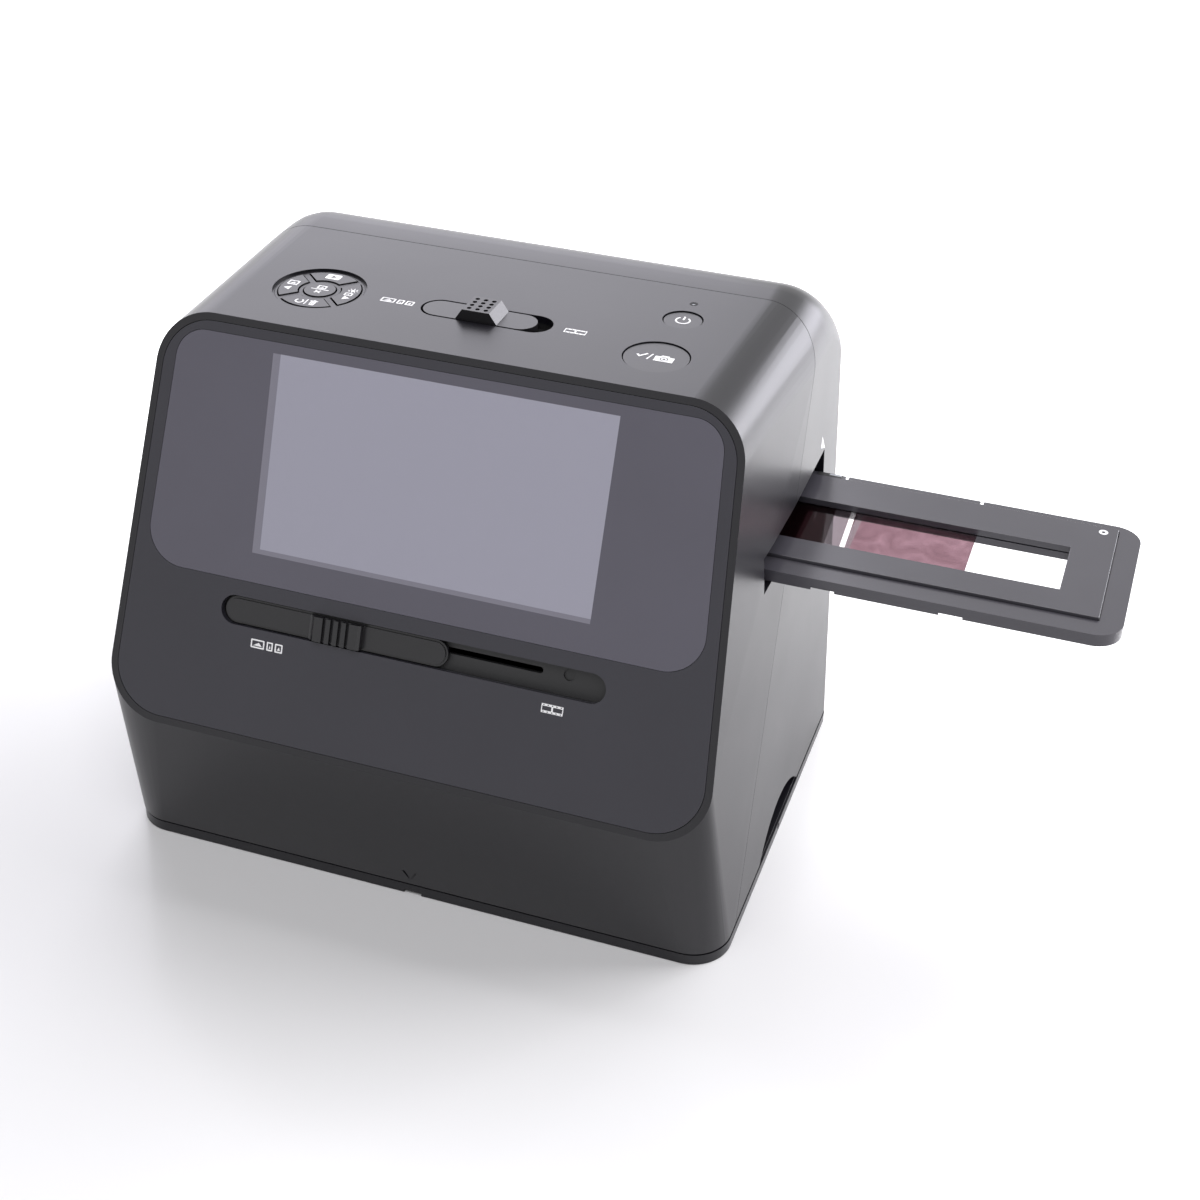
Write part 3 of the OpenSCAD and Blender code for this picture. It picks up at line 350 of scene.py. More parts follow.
def field_group():
    """1 inside a rectangle that lies in a plane, 0 outside: the plane's two axes run through the Centre."""
    group, given, out = new_group(
        "flat_field",
        (("Across", "Vector", (1, 0, 0)), ("Along", "Vector", (0, 1, 0)), ("Centre", "Vector", (0, 0, 0)),
         ("Half across", "Float", 0.01), ("Half along", "Float", 0.01), ("Blur", "Float", 0.0001)),
        (("Mask", "Float"),))
    shift = vector_math(group, "SUBTRACT", {0: object_place(group), 1: given["Centre"]}).outputs[0]
    masks = []
    for axis, half in (("Across", "Half across"), ("Along", "Half along")):
        reach = vector_math(group, "DOT_PRODUCT", {0: shift, 1: given[axis]}).outputs["Value"]
        within = math_node(group, "SUBTRACT", given[half], math_node(group, "ABSOLUTE", reach))
        masks.append(range_node(group, within, from_max=given["Blur"]))
    feed(group, out, {"Mask": math_node(group, "MULTIPLY", *masks)})
    return group


MOULDED = moulded_group()
FIELD = field_group()


# ---- finishes ----

GRAIN_HEIGHT = 0.06 * MM
COAT_ROUGHNESS = 0.08


def plastic(name, colour, gloss=0.45, drift=0.05, grain=0.0004, depth=0.12, specular=0.5, coat=0.0):
    """A moulded plastic. gloss is its roughness, and depth is how strong its grain is."""
    material = bpy.data.materials.new(name)
    material.use_nodes = True
    tree = material.node_tree
    skin = group_node(tree, MOULDED, Colour=(*colour, 1), Drift=drift, Gloss=gloss, Grain_size=grain).outputs
    bump = add_node(tree, "ShaderNodeBump", {"Strength": depth, "Distance": GRAIN_HEIGHT,
                                             "Height": skin["Grain"]})
    feed(tree, tree.nodes["Principled BSDF"], {
        "Base Color": skin["Colour"], "Roughness": skin["Gloss"], "Normal": bump.outputs["Normal"],
        "Specular IOR Level": specular, "Coat Weight": coat, "Coat Roughness": COAT_ROUGHNESS})
    return material


def metal(name, colour, rough):
    material = plastic(name, colour, gloss=rough, drift=0.08, grain=0.0003, depth=0.1)
    material.node_tree.nodes["Principled BSDF"].inputs["Metallic"].default_value = 1.0
    return material


def lay_colour(tree, mask, colour):
    """Lays another colour, where the mask is 1, over what the shader has."""
    base = tree.nodes["Principled BSDF"].inputs["Base Color"]
    tree.links.new(colour_mix(tree, mask, base.links[0].from_socket, colour), base)


def add_field(material, colour, across, along, centre, halves, blur=0.00012):
    """Lays a rectangle of another colour over a plastic, under what is laid later."""
    tree = material.node_tree
    field = group_node(tree, FIELD, Across=across, Along=along, Centre=centre, Half_across=halves[0],
                       Half_along=halves[1], Blur=blur)
    lay_colour(tree, field.outputs["Mask"], (*colour, 1))


# the screen on the panel, in millimetres from the middle and up from the knee
SCREEN_LEFT, SCREEN_RIGHT = -54.7, 55.35
SCREEN_LOW, SCREEN_HIGH = 60.6, 122.3
SCREEN_EDGE_LEFT, SCREEN_EDGE_LOW = 2.5, 1.5
SCREEN_EDGE_COLOUR = (0.215, 0.208, 0.255)
SCREEN_COLOUR = (0.36, 0.355, 0.43)


def window_material():
    """Smoked glossy window: behind it a blank screen, with the screen's own edge to the left and below."""
    material = plastic("window_gloss", (0.098, 0.093, 0.122), gloss=0.1, drift=0.03, grain=0.003, depth=0.012)
    for colour, left, low in ((SCREEN_EDGE_COLOUR, SCREEN_LEFT, SCREEN_LOW),
                              (SCREEN_COLOUR, SCREEN_LEFT + SCREEN_EDGE_LEFT, SCREEN_LOW + SCREEN_EDGE_LOW)):
        middle = Vector(((left + SCREEN_RIGHT) / 2 * MM, 0, 0)) + PANEL_UP * ((low + SCREEN_HIGH) / 2 * MM)
        add_field(material, colour, (1, 0, 0), tuple(PANEL_UP), tuple(KNEE + middle),
                  ((SCREEN_RIGHT - left) / 2 * MM, (SCREEN_HIGH - low) / 2 * MM))
    return material


def lens_glass_material():
    material = plastic("lens_glass", (0.9, 0.94, 0.96), gloss=0.03, drift=0.0, depth=0.0)
    shader = material.node_tree.nodes["Principled BSDF"]
    shader.inputs["Transmission Weight"].default_value = 1.0
    shader.inputs["IOR"].default_value = 1.5
    return material


FRAME_PITCH = 38.0 * MM
FILM_START = 2.4 * MM
# where a frame of film ends, from its middle: as a share of the pitch along the film, and across it
FRAME_END_ALONG = {"from_min": 0.4755, "from_max": 0.4725}
FRAME_END_ACROSS = {"from_min": 12.05 * MM, "from_max": 11.9 * MM}
DENSITY_SEED = 0.37
DENSITY_OF_FRAME = 0.45
DENSITY_OF_CLOUD = 0.75
# the shown part of the strip, from left to right: a dark frame, the clear leader, then a near-white band of
# painted light where the bright floor shows through the gap between two strips; colour, middle and half of its
# length in millimetres
FILM_TONES_AND_PAINTED_GAP = (((0.03, 0.011, 0.014), 90.6, 18.4), ((0.2, 0.165, 0.182), 111.3, 2.5),
               ((0.95, 0.93, 0.93), 114.6, 0.9))
FILM_FIELD_SLANT = (0.9988, 0.0488, 0)
FILM_FIELD_HALF = 20 * MM


def film_material():
    """Colour negative: a tinted clear base with a row of frames, each a soft cloud of its own density. Over
    these lie a dark frame, the clear leader, and a near-white band of painted light where the gap between two
    strips shows.
    """
    material = plastic("film", (0.2, 0.155, 0.172), gloss=0.08, drift=0.06, grain=0.002, depth=0.03, coat=0.35)
    tree = material.node_tree
    place = object_place(tree)
    axes = axes_of(tree, place)
    along = math_node(tree, "DIVIDE", math_node(tree, "SUBTRACT", axes["X"], FILM_START), FRAME_PITCH)
    number = math_node(tree, "FLOOR", along)
    within = math_node(tree, "SUBTRACT", along, number)
    from_middle = math_node(tree, "ABSOLUTE", math_node(tree, "SUBTRACT", within, 0.5))
    across = math_node(tree, "ABSOLUTE", math_node(tree, "SUBTRACT", axes["Y"], FILM_AXIS_Y))
    in_frame = math_node(tree, "MULTIPLY", range_node(tree, from_middle, **FRAME_END_ALONG),
                         range_node(tree, across, **FRAME_END_ACROSS))
    lot = tree.nodes.new("ShaderNodeTexWhiteNoise")
    lot.noise_dimensions = "1D"
    feed(tree, lot, {"W": math_node(tree, "ADD", number, DENSITY_SEED)})
    cloud = noise_node(tree, place, scale=110, detail=6, distortion=1.2)
    density = math_node(tree, "ADD", math_node(tree, "MULTIPLY", lot.outputs["Value"], DENSITY_OF_FRAME),
                        math_node(tree, "MULTIPLY", cloud, DENSITY_OF_CLOUD))
    tones = add_node(tree, "ShaderNodeValToRGB", {"Fac": density})
    thin, dense = tones.color_ramp.elements
    thin.position, thin.color = 0.25, (0.25, 0.145, 0.175, 1)
    dense.position, dense.color = 0.85, (0.07, 0.022, 0.03, 1)
    lay_colour(tree, in_frame, tones.outputs["Color"])
    shader = tree.nodes["Principled BSDF"]
    shader.inputs["Transmission Weight"].default_value = 0.9
    shader.inputs["IOR"].default_value = 1.03
    # the last field is painted light: a near-white band standing in for the bright floor seen through the gap
    # between two strips
    for colour, middle, half in FILM_TONES_AND_PAINTED_GAP:
        add_field(material, colour, FILM_FIELD_SLANT, (0, 1, 0), (middle * MM, FILM_AXIS_Y, 0),
                  (half * MM, FILM_FIELD_HALF), blur=0.0002)
    return material


FINISH = {
    "cover_plastic": plastic("cover_plastic", (0.006, 0.0056, 0.0085), gloss=0.32, drift=0.04, specular=0.44),
    "panel_plastic": plastic("panel_plastic", (0.031, 0.030, 0.039), gloss=0.34, drift=0.04, specular=0.42),
    "rubber_foot": plastic("rubber_foot", (0.02, 0.02, 0.02), gloss=0.8, depth=0.3),
    "inner_plastic": plastic("inner_plastic", (0.012, 0.012, 0.013), gloss=0.55, drift=0.08),
    "slider_plastic": plastic("slider_plastic", (0.0115, 0.011, 0.013), gloss=0.3, drift=0.04, specular=0.46),
    "key_plastic": plastic("key_plastic", (0.0115, 0.011, 0.013), gloss=0.3, drift=0.04, specular=0.46),
    "window_gloss": window_material(),
    "screen_glass": plastic("screen_glass", (0.27, 0.27, 0.315), gloss=0.16, drift=0.015, grain=0.004,
                            depth=0.01),
    "sheet_steel": metal("sheet_steel", (0.6, 0.6, 0.61), 0.32),
    "screw_steel": metal("screw_steel", (0.52, 0.52, 0.53), 0.28),
    "white_plastic": plastic("white_plastic", (0.86, 0.86, 0.85), gloss=0.5, drift=0.02),
    "diffuser": plastic("diffuser", (0.9, 0.9, 0.88), gloss=0.6, drift=0.01),
    "circuit_board": plastic("circuit_board", (0.02, 0.16, 0.08), gloss=0.35, drift=0.2, grain=0.0012,
                             depth=0.3),
    "chip": plastic("chip", (0.02, 0.02, 0.025), gloss=0.15, drift=0.1),
    "lens": lens_glass_material(),
    "light_pipe": plastic("light_pipe", (0.5, 0.52, 0.56), gloss=0.2, drift=0.02),
    "holder_plastic": plastic("holder_plastic", (0.06, 0.0575, 0.069), gloss=0.22, drift=0.05, depth=0.06,
                              specular=0.6),
    "film": film_material(),
}
PRINT_WHITE = plastic("print_white", (0.93, 0.93, 0.94), gloss=0.5, drift=0.02, depth=0.05)
PRINT_BLACK = plastic("print_black", (0.006, 0.006, 0.007), gloss=0.5, drift=0.02, depth=0.05, specular=0.2)
CONTACT_GOLD = metal("contact_gold", (0.83, 0.6, 0.25), 0.25)

for node_name, node_object in NODES.items():
    node_object.data.materials.clear()
    node_object.data.materials.append(FINISH[SLOT_OF[node_name]])


# ---- moulded pieces with softened edges ----

SAME_CORNER = 0.002 * MM
SAME_SKIN_CORNER = 0.04 * MM
SAME_FLAT = 0.99999
SHARP_EDGE = math.radians(32)
BEVEL_SEGMENTS = 2
BLOCK_PROFILE = 0.6


def new_piece(name, mesh, finish, body, replaces=()):
    piece = bpy.data.objects.new(name, mesh)
    scene.collection.objects.link(piece)
    mesh.materials.clear()
    mesh.materials.append(finish)
    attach(piece, body)
    if replaces:
        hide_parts(*replaces)


def baked(name, source):
    """The object's mesh with its modifiers applied, under a new name; the object goes."""
    graph = bpy.context.evaluated_depsgraph_get()
    mesh = bpy.data.meshes.new_from_object(source.evaluated_get(graph))
    mesh.name = name
    bpy.data.objects.remove(source)
    return mesh


def flush_seats(shape):
    """Brings the corners of the guide seats that stand out of the front cover's sides down to the skin."""
    near = []
    for vert in shape.verts:
        side = math.copysign(1, vert.co.x)
        reach = side * vert.co.x
        at_seat = SEAT_Y[0] < vert.co.y < SEAT_Y[1] and SEAT_Z[0] < vert.co.z < SEAT_Z[1]
        if not at_seat or reach <= SEAT_INSIDE:
            continue
        near.append(vert)
        if abs(reach - SEAT_REACH) < SEAT_MARGIN:
            out = SIDE_LEAN_Y * (vert.co.y - SIDE_AT.y) - SIDE_LEAN_Z * (vert.co.z - SIDE_AT.z)
            vert.co.x = side * (SIDE_AT.x + out / SIDE_COSINE)
    bmesh.ops.remove_doubles(shape, verts=near, dist=SAME_SKIN_CORNER)


def sink_plate(shape):
    """Draws the top slider's plate in from its slot and down to the top face, so that its gap shows dark."""
    left, right = PLATE_CORE_X
    for vert in shape.verts:
        if vert.co.z < PLATE_TOP - PLATE_THICK:
            continue
        core = Vector((min(max(vert.co.x, left), right), PLATE_CORE_Y))
        away = vert.co.xy - core
        if away.length > PLATE_RADIUS - PLATE_RIM:
            vert.co.xy = core + away.normalized() * (away.length - PLATE_IN)
        if abs(vert.co.z - PLATE_TOP) < PLATE_MARGIN:
            vert.co.z -= PLATE_DOWN


RESHAPED = {"front_cover": flush_seats, "top_slider": sink_plate}


def merged_copy(node):
    mesh = NODES[node].data.copy()
    shape = bmesh.new()
    shape.from_mesh(mesh)
    bmesh.ops.remove_doubles(shape, verts=shape.verts, dist=SAME_CORNER)
    if node in RESHAPED:
        RESHAPED[node](shape)
    shape.to_mesh(mesh)
    shape.free()
    return mesh


def even_normals(mesh):
    """Shades each corner by the flat areas that meet in it, the wide ones most, so that flats stay flat."""
    shape = bmesh.new()
    shape.from_mesh(mesh)
    shape.faces.ensure_lookup_table()
    area_of = {}
    flat_of = {}
    for first in shape.faces:
        if first in flat_of:
            continue
        flat_of[first] = first
        group = [first]
        for face in group:
            for edge in face.edges:
                for other in edge.link_faces:
                    if other not in flat_of and other.normal.dot(first.normal) > SAME_FLAT:
                        flat_of[other] = first
                        group.append(other)
        area_of[first] = sum(face.calc_area() for face in group)
    normals = []
    for vert in shape.verts:
        flats = {flat_of[face] for face in vert.link_faces}
        total = sum((flat.normal * area_of[flat] for flat in flats), Vector())
        normals.append(total.normalized() if total.length > 0 else vert.normal.copy())
    shape.free()
    mesh.normals_split_custom_set_from_vertices(normals)
    return mesh


def smooth(mesh):
    for polygon in mesh.polygons:
        polygon.use_smooth = True
    return mesh


def soft_edges(node, width):
    """A copy of a CAD node with its sharp edges rounded by width, in place of the node."""
    name = node + "_shell"
    work = bpy.data.objects.new("work", smooth(merged_copy(node)))
    scene.collection.objects.link(work)
    bevel = work.modifiers.new("bevel", "BEVEL")
    bevel.width = width
    bevel.segments = BEVEL_SEGMENTS
    bevel.limit_method = "ANGLE"
    bevel.angle_limit = SHARP_EDGE
    bevel.use_clamp_overlap = True
    slot = SLOT_OF[node]
    new_piece(name, even_normals(baked(name, work)), FINISH[slot], BODY_OF[node], (node,))


KEYS = ("key_up", "key_down", "key_left", "key_right", "key_centre", "power_key", "shutter_key")
EDGE_WIDTHS = {
    "front_cover": 0.3, "rear_cover": 0.3, "photo_tray": 0.3, "front_panel": 0.2, "screen_window": 0.12,
    "front_slider_track": 0.2, "front_slider": 0.25, "top_slider_track": 0.2, "top_slider": 0.25,
    "key_bezel": 0.1, **dict.fromkeys(KEYS, 0.2), "holder_base": 0.3, "holder_lid": 0.2}

for rounded_node, edge_width in EDGE_WIDTHS.items():
    soft_edges(rounded_node, edge_width * MM)


# ---- pieces that repeat along a row ----

def new_tree(name, inputs):
    tree = bpy.data.node_groups.new(name, "GeometryNodeTree")
    tree.interface.new_socket("Geometry", in_out="INPUT", socket_type="NodeSocketGeometry")
    for label, kind, value in inputs:
        socket = tree.interface.new_socket(label, in_out="INPUT", socket_type="NodeSocket" + kind)
        socket.default_value = value
    tree.interface.new_socket("Geometry", in_out="OUTPUT", socket_type="NodeSocketGeometry")
    return tree, tree.nodes.new("NodeGroupInput").outputs, tree.nodes.new("NodeGroupOutput")


def grown(name, tree, **values):
    """The mesh that a tree makes from the named input values."""
    source = bpy.data.objects.new("work", bpy.data.meshes.new("work"))
    scene.collection.objects.link(source)
    modifier = source.modifiers.new("rows", "NODES")
    modifier.node_group = tree
    for item in tree.interface.items_tree:
        key = item.name.replace(" ", "_").lower()
        if item.item_type == "SOCKET" and item.in_out == "INPUT" and key in values:
            modifier[item.identifier] = values[key]
    return baked(name, source)


def vector_node(tree, **axes):
    return add_node(tree, "ShaderNodeCombineXYZ", axes).outputs[0]


def through(tree, kind, geometry, inputs):
    """Puts a geometry through a node of this kind."""
    return add_node(tree, "GeometryNode" + kind, {0: geometry, **inputs}).outputs[0]


def joined(tree, *parts):
    node = tree.nodes.new("GeometryNodeJoinGeometry")
    for part in parts:
        tree.links.new(part, node.inputs[0])
    return node.outputs[0]


def rectangle(tree, width, height):
    node = add_node(tree, "GeometryNodeCurvePrimitiveQuadrilateral", {"Width": width, "Height": height})
    return node.outputs[0]


def row_of_points(tree, count, start, pitch):
    node = tree.nodes.new("GeometryNodeMeshLine")
    node.mode = "OFFSET"
    feed(tree, node, {"Count": count, "Start Location": start, "Offset": vector_node(tree, X=pitch)})
    return node.outputs[0]


def perforated_strip_tree(finish):
    """A flat strip with two rows of rounded holes, its first hole half a pitch from its end."""
    tree, given, out = new_tree("perforated_strip", (
        ("Length", "Float", 0.155), ("Width", "Float", 0.035), ("Thickness", "Float", 0.00025),
        ("Hole length", "Float", 0.0019), ("Hole width", "Float", 0.0028), ("Hole corner", "Float", 0.0005),
        ("Row offset", "Float", 0.0141), ("Pitch", "Float", 0.00475), ("Holes", "Int", 32)))
    corners = tree.nodes.new("GeometryNodeFilletCurve")
    corners.mode = "POLY"
    feed(tree, corners, {"Curve": rectangle(tree, given["Hole length"], given["Hole width"]), "Count": 3,
                         "Radius": given["Hole corner"]})
    row_length = math_node(tree, "MULTIPLY", given["Pitch"], math_node(tree, "SUBTRACT", given["Holes"], 1.0))
    start = vector_node(tree, X=math_node(tree, "MULTIPLY", row_length, -0.5))
    row = row_of_points(tree, given["Holes"], start, given["Pitch"])
    rows = joined(tree, *(
        through(tree, "SetPosition", row, {
            "Offset": vector_node(tree, Y=math_node(tree, "MULTIPLY", given["Row offset"], side))})
        for side in (1.0, -1.0)))
    holes = through(tree, "InstanceOnPoints", rows, {"Instance": corners.outputs[0]})
    outline = rectangle(tree, given["Length"], given["Width"])
    face = through(tree, "FillCurve", joined(tree, outline, through(tree, "RealizeInstances", holes, {})), {})
    raised = through(tree, "ExtrudeMesh", face, {
        "Individual": False, "Offset": vector_node(tree, Z=1.0), "Offset Scale": given["Thickness"]})
    whole = joined(tree, raised, through(tree, "FlipFaces", face, {}))
    closed = through(tree, "MergeByDistance", whole, {"Distance": 0.001 * MM})
    feed(tree, out, {0: through(tree, "SetMaterial", closed, {"Material": finish})})
    return tree


def contact_row_tree(finish):
    """A row of flat spring contacts along X."""
    tree, given, out = new_tree("contact_row", (
        ("Start", "Vector", (0, 0, 0)), ("Pitch", "Float", 0.001), ("Contacts", "Int", 5),
        ("Size", "Vector", (0.0005, 0.004, 0.0001))))
    points = row_of_points(tree, given["Contacts"], given["Start"], given["Pitch"])
    blade = add_node(tree, "GeometryNodeMeshCube", {"Size": given["Size"], "Vertices Y": 3})
    row = through(tree, "InstanceOnPoints", points, {"Instance": blade.outputs[0]})
    real = through(tree, "RealizeInstances", row, {})
    feed(tree, out, {0: through(tree, "SetMaterial", real, {"Material": finish})})
    return tree


def outward(mesh):
    shape = bmesh.new()
    shape.from_mesh(mesh)
    bmesh.ops.recalc_face_normals(shape, faces=shape.faces)
    shape.to_mesh(mesh)
    shape.free()
    return mesh


low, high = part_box("film_strip")
film = grown("film_negatives", perforated_strip_tree(FINISH["film"]), length=high.x - low.x,
             width=high.y - low.y, thickness=high.z - low.z)
film.transform(Matrix.Translation(((low.x + high.x) / 2, (low.y + high.y) / 2, low.z)))
new_piece("film_negatives", outward(film), FINISH["film"], "film_holder", ("film_strip",))

CONTACT_Y = 68.2
TONGUE_CONTACT_Z = 32.5
CARD_CONTACT_Z = 31.1
# socket, number of contacts, pitch, size of one contact and height, in millimetres
CONTACT_ROWS = (
    ("usb", 5, 0.9, (0.5, 4.4, 0.12), TONGUE_CONTACT_Z),
    ("hdmi", 9, 0.9, (0.45, 4.4, 0.12), TONGUE_CONTACT_Z),
    ("card", 9, 2.5, (1.2, 4.6, 0.3), CARD_CONTACT_Z))
contact_tree = contact_row_tree(CONTACT_GOLD)
for socket, count, pitch, size, height in CONTACT_ROWS:
    low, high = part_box(socket + "_socket")
    start = ((low.x + high.x) / 2 - pitch * MM * (count - 1) / 2, CONTACT_Y * MM, height * MM)
    row = grown(socket + "_contacts", contact_tree, start=start, pitch=pitch * MM, contacts=count,
                size=tuple(value * MM for value in size))
    new_piece(socket + "_contacts", outward(row), CONTACT_GOLD, "housing")


# ---- small parts built on their own ----

def soft_block(shape, left, right, front, back, low, high, bevel):
    """A block with rounded edges, in metres, added to an open bmesh."""
    made = bmesh.ops.create_cube(shape, size=1.0)["verts"]
    for vert in made:
        vert.co = Vector((left + (vert.co.x + 0.5) * (right - left), front + (vert.co.y + 0.5) * (back - front),
                          low + (vert.co.z + 0.5) * (high - low)))
    edges = {edge for vert in made for edge in vert.link_edges}
    bmesh.ops.bevel(shape, geom=list(edges), offset=bevel, segments=BEVEL_SEGMENTS, profile=BLOCK_PROFILE,
                    affect="EDGES")


def built(name, blocks, finish, body):
    """A piece of blocks, each given as left, right, front, back, low, high and bevel in millimetres."""
    shape = bmesh.new()
    for block in blocks:
        soft_block(shape, *(value * MM for value in block))
    mesh = bpy.data.meshes.new(name)
    shape.to_mesh(mesh)
    shape.free()
    new_piece(name, outward(smooth(mesh)), finish, body)


# the lid's clip on the rear rim, and the tongues that carry the contacts
CLIP_BLOCKS = ((97.8, 106.0, 42.65, 45.8, 116.1, 116.45, 0.12),
               (98.0, 105.9, 42.7, 43.75, 116.2, 117.05, 0.15))
CLIP_PAD_BLOCK = (101.6, 105.6, 43.9, 45.5, 116.35, 116.48, 0.03)
TONGUE_ENDS = {"usb_tongue": (-47.6, -42.4), "hdmi_tongue": (-24.6, -15.4)}
TONGUE_SECTION = (64.9, 70.4, 31.6, 32.46, 0.1)

built("lid_clip", CLIP_BLOCKS, FINISH["inner_plastic"], "film_holder")
built("clip_pad", (CLIP_PAD_BLOCK,), FINISH["light_pipe"], "film_holder")
for tongue, ends in TONGUE_ENDS.items():
    built(tongue, ((*ends, *TONGUE_SECTION),), FINISH["inner_plastic"], "housing")


# ---- printed marks: flat outlines in millimetres ----

MARK_FOOT = -0.02
MARK_RISE = 0.04
CORNER_STEPS = 4


def arc(x, y, radius, start, end, steps):
    turns = [math.radians(start + (end - start) * i / steps) for i in range(steps + 1)]
    return [(x + radius * math.cos(t), y + radius * math.sin(t)) for t in turns]


def disc(x, y, radius, steps=24):
    return arc(x, y, radius, 0, 360 - 360 / steps, steps - 1)


def slab(left, right, low, high, radius=0.25):
    corners = ((right, high, -1, -1, 0), (left, high, 1, -1, 90), (left, low, 1, 1, 180),
               (right, low, -1, 1, 270))
    return [p for x, y, sx, sy, turn in corners
            for p in arc(x + sx * radius, y + sy * radius, radius, turn, turn + 90, CORNER_STEPS)]


def ring_part(x, y, outer, inner, start, end, steps=28):
    return arc(x, y, outer, start, end, steps) + arc(x, y, inner, end, start, steps)


def stroke(x0, y0, x1, y1, width):
    run = Vector((x1 - x0, y1 - y0)).normalized() * width / 2
    return [(x0 + run.y, y0 - run.x), (x1 + run.y, y1 - run.x), (x1 - run.y, y1 + run.x),
            (x0 - run.y, y0 + run.x)]


def moved(shapes, x, y, size=1.0):
    return [([(px * size + x, py * size + y) for px, py in outline],
             [[(px * size + x, py * size + y) for px, py in hole] for hole in holes])
            for outline, holes in shapes]


def print_marks(name, shapes, place, body, finish=PRINT_WHITE):
    """Closed thin plates from flat outlines in millimetres; each shape is an outline and its holes."""
    plates = bmesh.new()
    for outline, holes in shapes:
        loops = [outline, *holes]
        flat = [point for loop in loops for point in loop]
        low = [plates.verts.new((x, y, MARK_FOOT)) for x, y in flat]
        high = [plates.verts.new((x, y, MARK_RISE)) for x, y in flat]
        for corners in tessellate_polygon([[Vector((x, y, 0)) for x, y in loop] for loop in loops]):
            plates.faces.new([high[i] for i in corners])
            plates.faces.new([low[i] for i in reversed(corners)])
        first = 0
        for loop in loops:
            count = len(loop)
            for i in range(count):
                a, b = first + i, first + (i + 1) % count
                plates.faces.new((low[a], low[b], high[b], high[a]))
            first += count
    bmesh.ops.recalc_face_normals(plates, faces=plates.faces)
    plates.transform(place)
    mesh = bpy.data.meshes.new(name)
    plates.to_mesh(mesh)
    plates.free()
    new_piece(name, mesh, finish, body)


def picture_mark(width, height, line=0.44):
    """A print: a frame with a hill in it."""
    left, low = -width / 2, -height / 2
    opening = slab(left + line, -left - line, low + line, -low - line, 0.1)
    frame_shape = (slab(left, -left, low, -low), [opening])
    inner = width / 2 - line - 0.35
    hill = [(-inner, low + line + 0.3), (inner, low + line + 0.3), (inner * 0.25, -low - line - 0.5)]
    return [frame_shape, (hill, [])]


def film_mark(width, height, frames):
    """A piece of film: frames between two rows of holes."""
    left, low = -width / 2, -height / 2
    holes = []
    pitch = width / (2 * frames + 1)
    for i in range(2 * frames + 1):
        x = left + pitch * (i + 0.5)
        holes.append(slab(x - 0.22, x + 0.22, low + 0.18, low + 0.5, 0.05))
        holes.append(slab(x - 0.22, x + 0.22, -low - 0.5, -low - 0.18, 0.05))
    span = width / frames
    for i in range(frames):
        x = left + span * (i + 0.5)
        holes.append(slab(x - span / 2 + 0.28, x + span / 2 - 0.28, low + 0.72, -low - 0.72, 0.08))
    return [(slab(left, -left, low, -low, 0.15), holes)]


def triangle_mark(size, turn):
    return [([(size * math.cos(math.radians(turn + a)), size * math.sin(math.radians(turn + a)))
              for a in (0, 120, 240)], [])]


def sun_mark():
    rays = [(stroke(0.78 * math.cos(a), 0.78 * math.sin(a), 1.25 * math.cos(a), 1.25 * math.sin(a), 0.24), [])
            for a in (math.radians(45 * i) for i in range(8))]
    return [(disc(0, 0, 0.52, 16), [])] + rays


def bin_mark():
    can = [(-0.85, 0.75), (-0.65, -1.35), (0.65, -1.35), (0.85, 0.75)]
    slits = [slab(x - 0.11, x + 0.11, -1.0, 0.4, 0.05) for x in (-0.28, 0.28)]
    return [(can, slits), (slab(-1.1, 1.1, 0.95, 1.3, 0.1), []), (slab(-0.4, 0.4, 1.42, 1.65, 0.08), [])]


def camera_mark():
    body_line = [(-2.7, -1.75), (2.7, -1.75), (2.7, 1.15), (1.35, 1.15), (0.95, 1.8), (-0.95, 1.8),
                 (-1.35, 1.15), (-2.7, 1.15)]
    return [(body_line, [disc(0, -0.25, 1.2)]), (disc(0, -0.25, 0.88), [disc(0, -0.25, 0.45, 16)])]


def tick_mark():
    line = [(-1.35, 0.05), (-0.95, 0.45), (-0.4, -0.25), (1.05, 1.45), (1.45, 1.1), (-0.4, -1.0)]
    return [(line, [])]


def power_mark():
    return [(ring_part(0, 0, 2.15, 1.68, 125, 415), []), (slab(-0.24, 0.24, 0.3, 2.45, 0.1), [])]


# ---- what is printed on the keys ----

PAD_X, PAD_Y = -54.0, -7.0
PAD_REACH = 9.85
PAD_MARK_SHIFT = 0.1
POWER_KEY_AT = (57.9, 12.9)
SHUTTER_KEY_AT = (58.05, -14.2)
STATUS_LIGHT_AT = (57.8, 24.8)
STATUS_RING_SUNK = 0.02 * MM

play_sign = [(slab(-2.4, 2.4, -1.75, 1.75, 0.6), [triangle_mark(1.15, 0)[0][0]])]
turn_and_bin = [(ring_part(-2.2, 0, 1.45, 0.95, 130, 420, 18), []), (stroke(0, -1.7, 0, 1.7, 0.34), [])] \
    + moved(bin_mark(), 2.3, -0.1, 1.15)
print_and_left = moved(picture_mark(3.5, 3.0, 0.46), 0, 1.75) + moved(triangle_mark(1.45, 180), 0, -2.3)
light_and_right = moved(sun_mark(), 0.25, 2.6, 1.35) + moved(picture_mark(2.6, 2.0, 0.4), -0.1, -0.1) \
    + moved(triangle_mark(1.45, 0), 0, -2.75)
print_over_cross = [(stroke(-3.0, 0, 3.0, 0, 0.4), []), (stroke(-0.9, -1.0, 0.9, -2.5, 0.5), []),
                    (stroke(-0.9, -2.5, -0.25, -1.96, 0.5), []), (stroke(0.25, -1.54, 0.9, -1.0, 0.5), [])] \
    + moved(picture_mark(3.0, 2.2, 0.44), 0, 1.65)
tick_and_camera = moved(tick_mark(), -4.6, 0.2, 1.2) + [(stroke(-2.5, -1.8, -1.5, 2.0, 0.42), [])] \
    + moved(camera_mark(), 2.4, 0, 1.08)
status_ring = [(disc(0, 0, 1.35), [disc(0, -0.12, 0.62, 16)])]

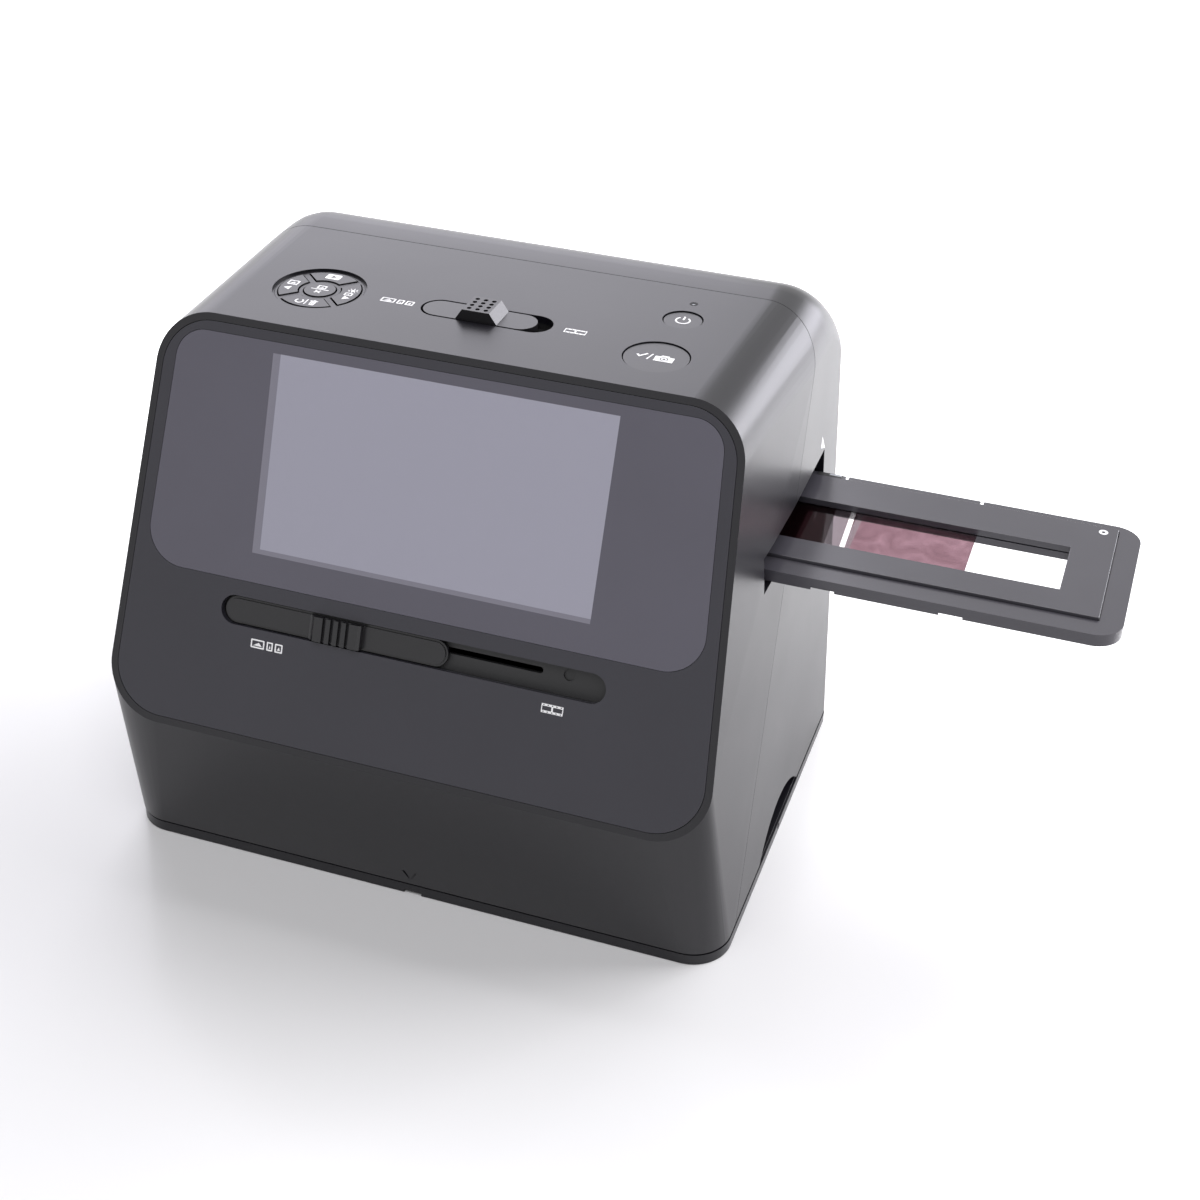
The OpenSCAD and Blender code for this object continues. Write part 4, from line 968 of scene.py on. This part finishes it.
print_marks("mark_up", play_sign, on_top(PAD_X, PAD_Y + PAD_REACH + PAD_MARK_SHIFT, PAD_TOP), "key_up")
print_marks("mark_down", turn_and_bin, on_top(PAD_X, PAD_Y - PAD_REACH + PAD_MARK_SHIFT, PAD_TOP), "key_down")
print_marks("mark_left", print_and_left, on_top(PAD_X - PAD_REACH, PAD_Y, PAD_TOP), "key_left")
print_marks("mark_right", light_and_right, on_top(PAD_X + PAD_REACH, PAD_Y, PAD_TOP), "key_right")
print_marks("mark_centre", print_over_cross, on_top(PAD_X, PAD_Y, PAD_TOP), "key_centre")
print_marks("status_ring", status_ring, on_top(*STATUS_LIGHT_AT, TOP - STATUS_RING_SUNK), "housing",
            PRINT_BLACK)
print_marks("mark_power", moved(power_mark(), 0, 0, 1.12), on_top(*POWER_KEY_AT, KEY_TOP), "power_key")
print_marks("mark_shutter", tick_and_camera, on_top(*SHUTTER_KEY_AT, KEY_TOP), "shutter_key")


# ---- what is printed beside the sliders, on the side and on the holder ----

TOP_PRINT_AT = (-27.7, -7.2)
TOP_FILM_AT = (30.4, -7.2)
PANEL_PRINT_AT = (-46.5, 32.5)
PANEL_FILM_AT = (47.6, 32.8)
SIDE_ARROW_AT = (44.6, 128.0)
HOLDER_RING_AT = (191.0, 39.0)

print_row = moved(picture_mark(4.6, 2.8), -3.0, 0) + moved(picture_mark(2.1, 2.8), 1.15, 0) \
    + moved(picture_mark(2.6, 2.8), 4.2, 0)
film_row = film_mark(6.9, 2.8, 2)
side_arrow = [([(-1.6, 2.9), (-3.2, -0.6), (2.6, -3.2)], [])]
holder_ring = [(disc(0, 0, 1.45), [disc(0, 0, 0.62, 16)])]

print_marks("top_print_mark", print_row, on_top(*TOP_PRINT_AT), "housing")
print_marks("top_film_mark", film_row, on_top(*TOP_FILM_AT), "housing")
print_marks("front_print_mark", print_row, on_panel(*PANEL_PRINT_AT), "housing")
print_marks("front_film_mark", film_row, on_panel(*PANEL_FILM_AT), "housing")
print_marks("side_mark", side_arrow, on_right_side(*SIDE_ARROW_AT), "housing")
print_marks("holder_ring_mark", holder_ring, on_top(*HOLDER_RING_AT, LID_TOP), "film_holder")
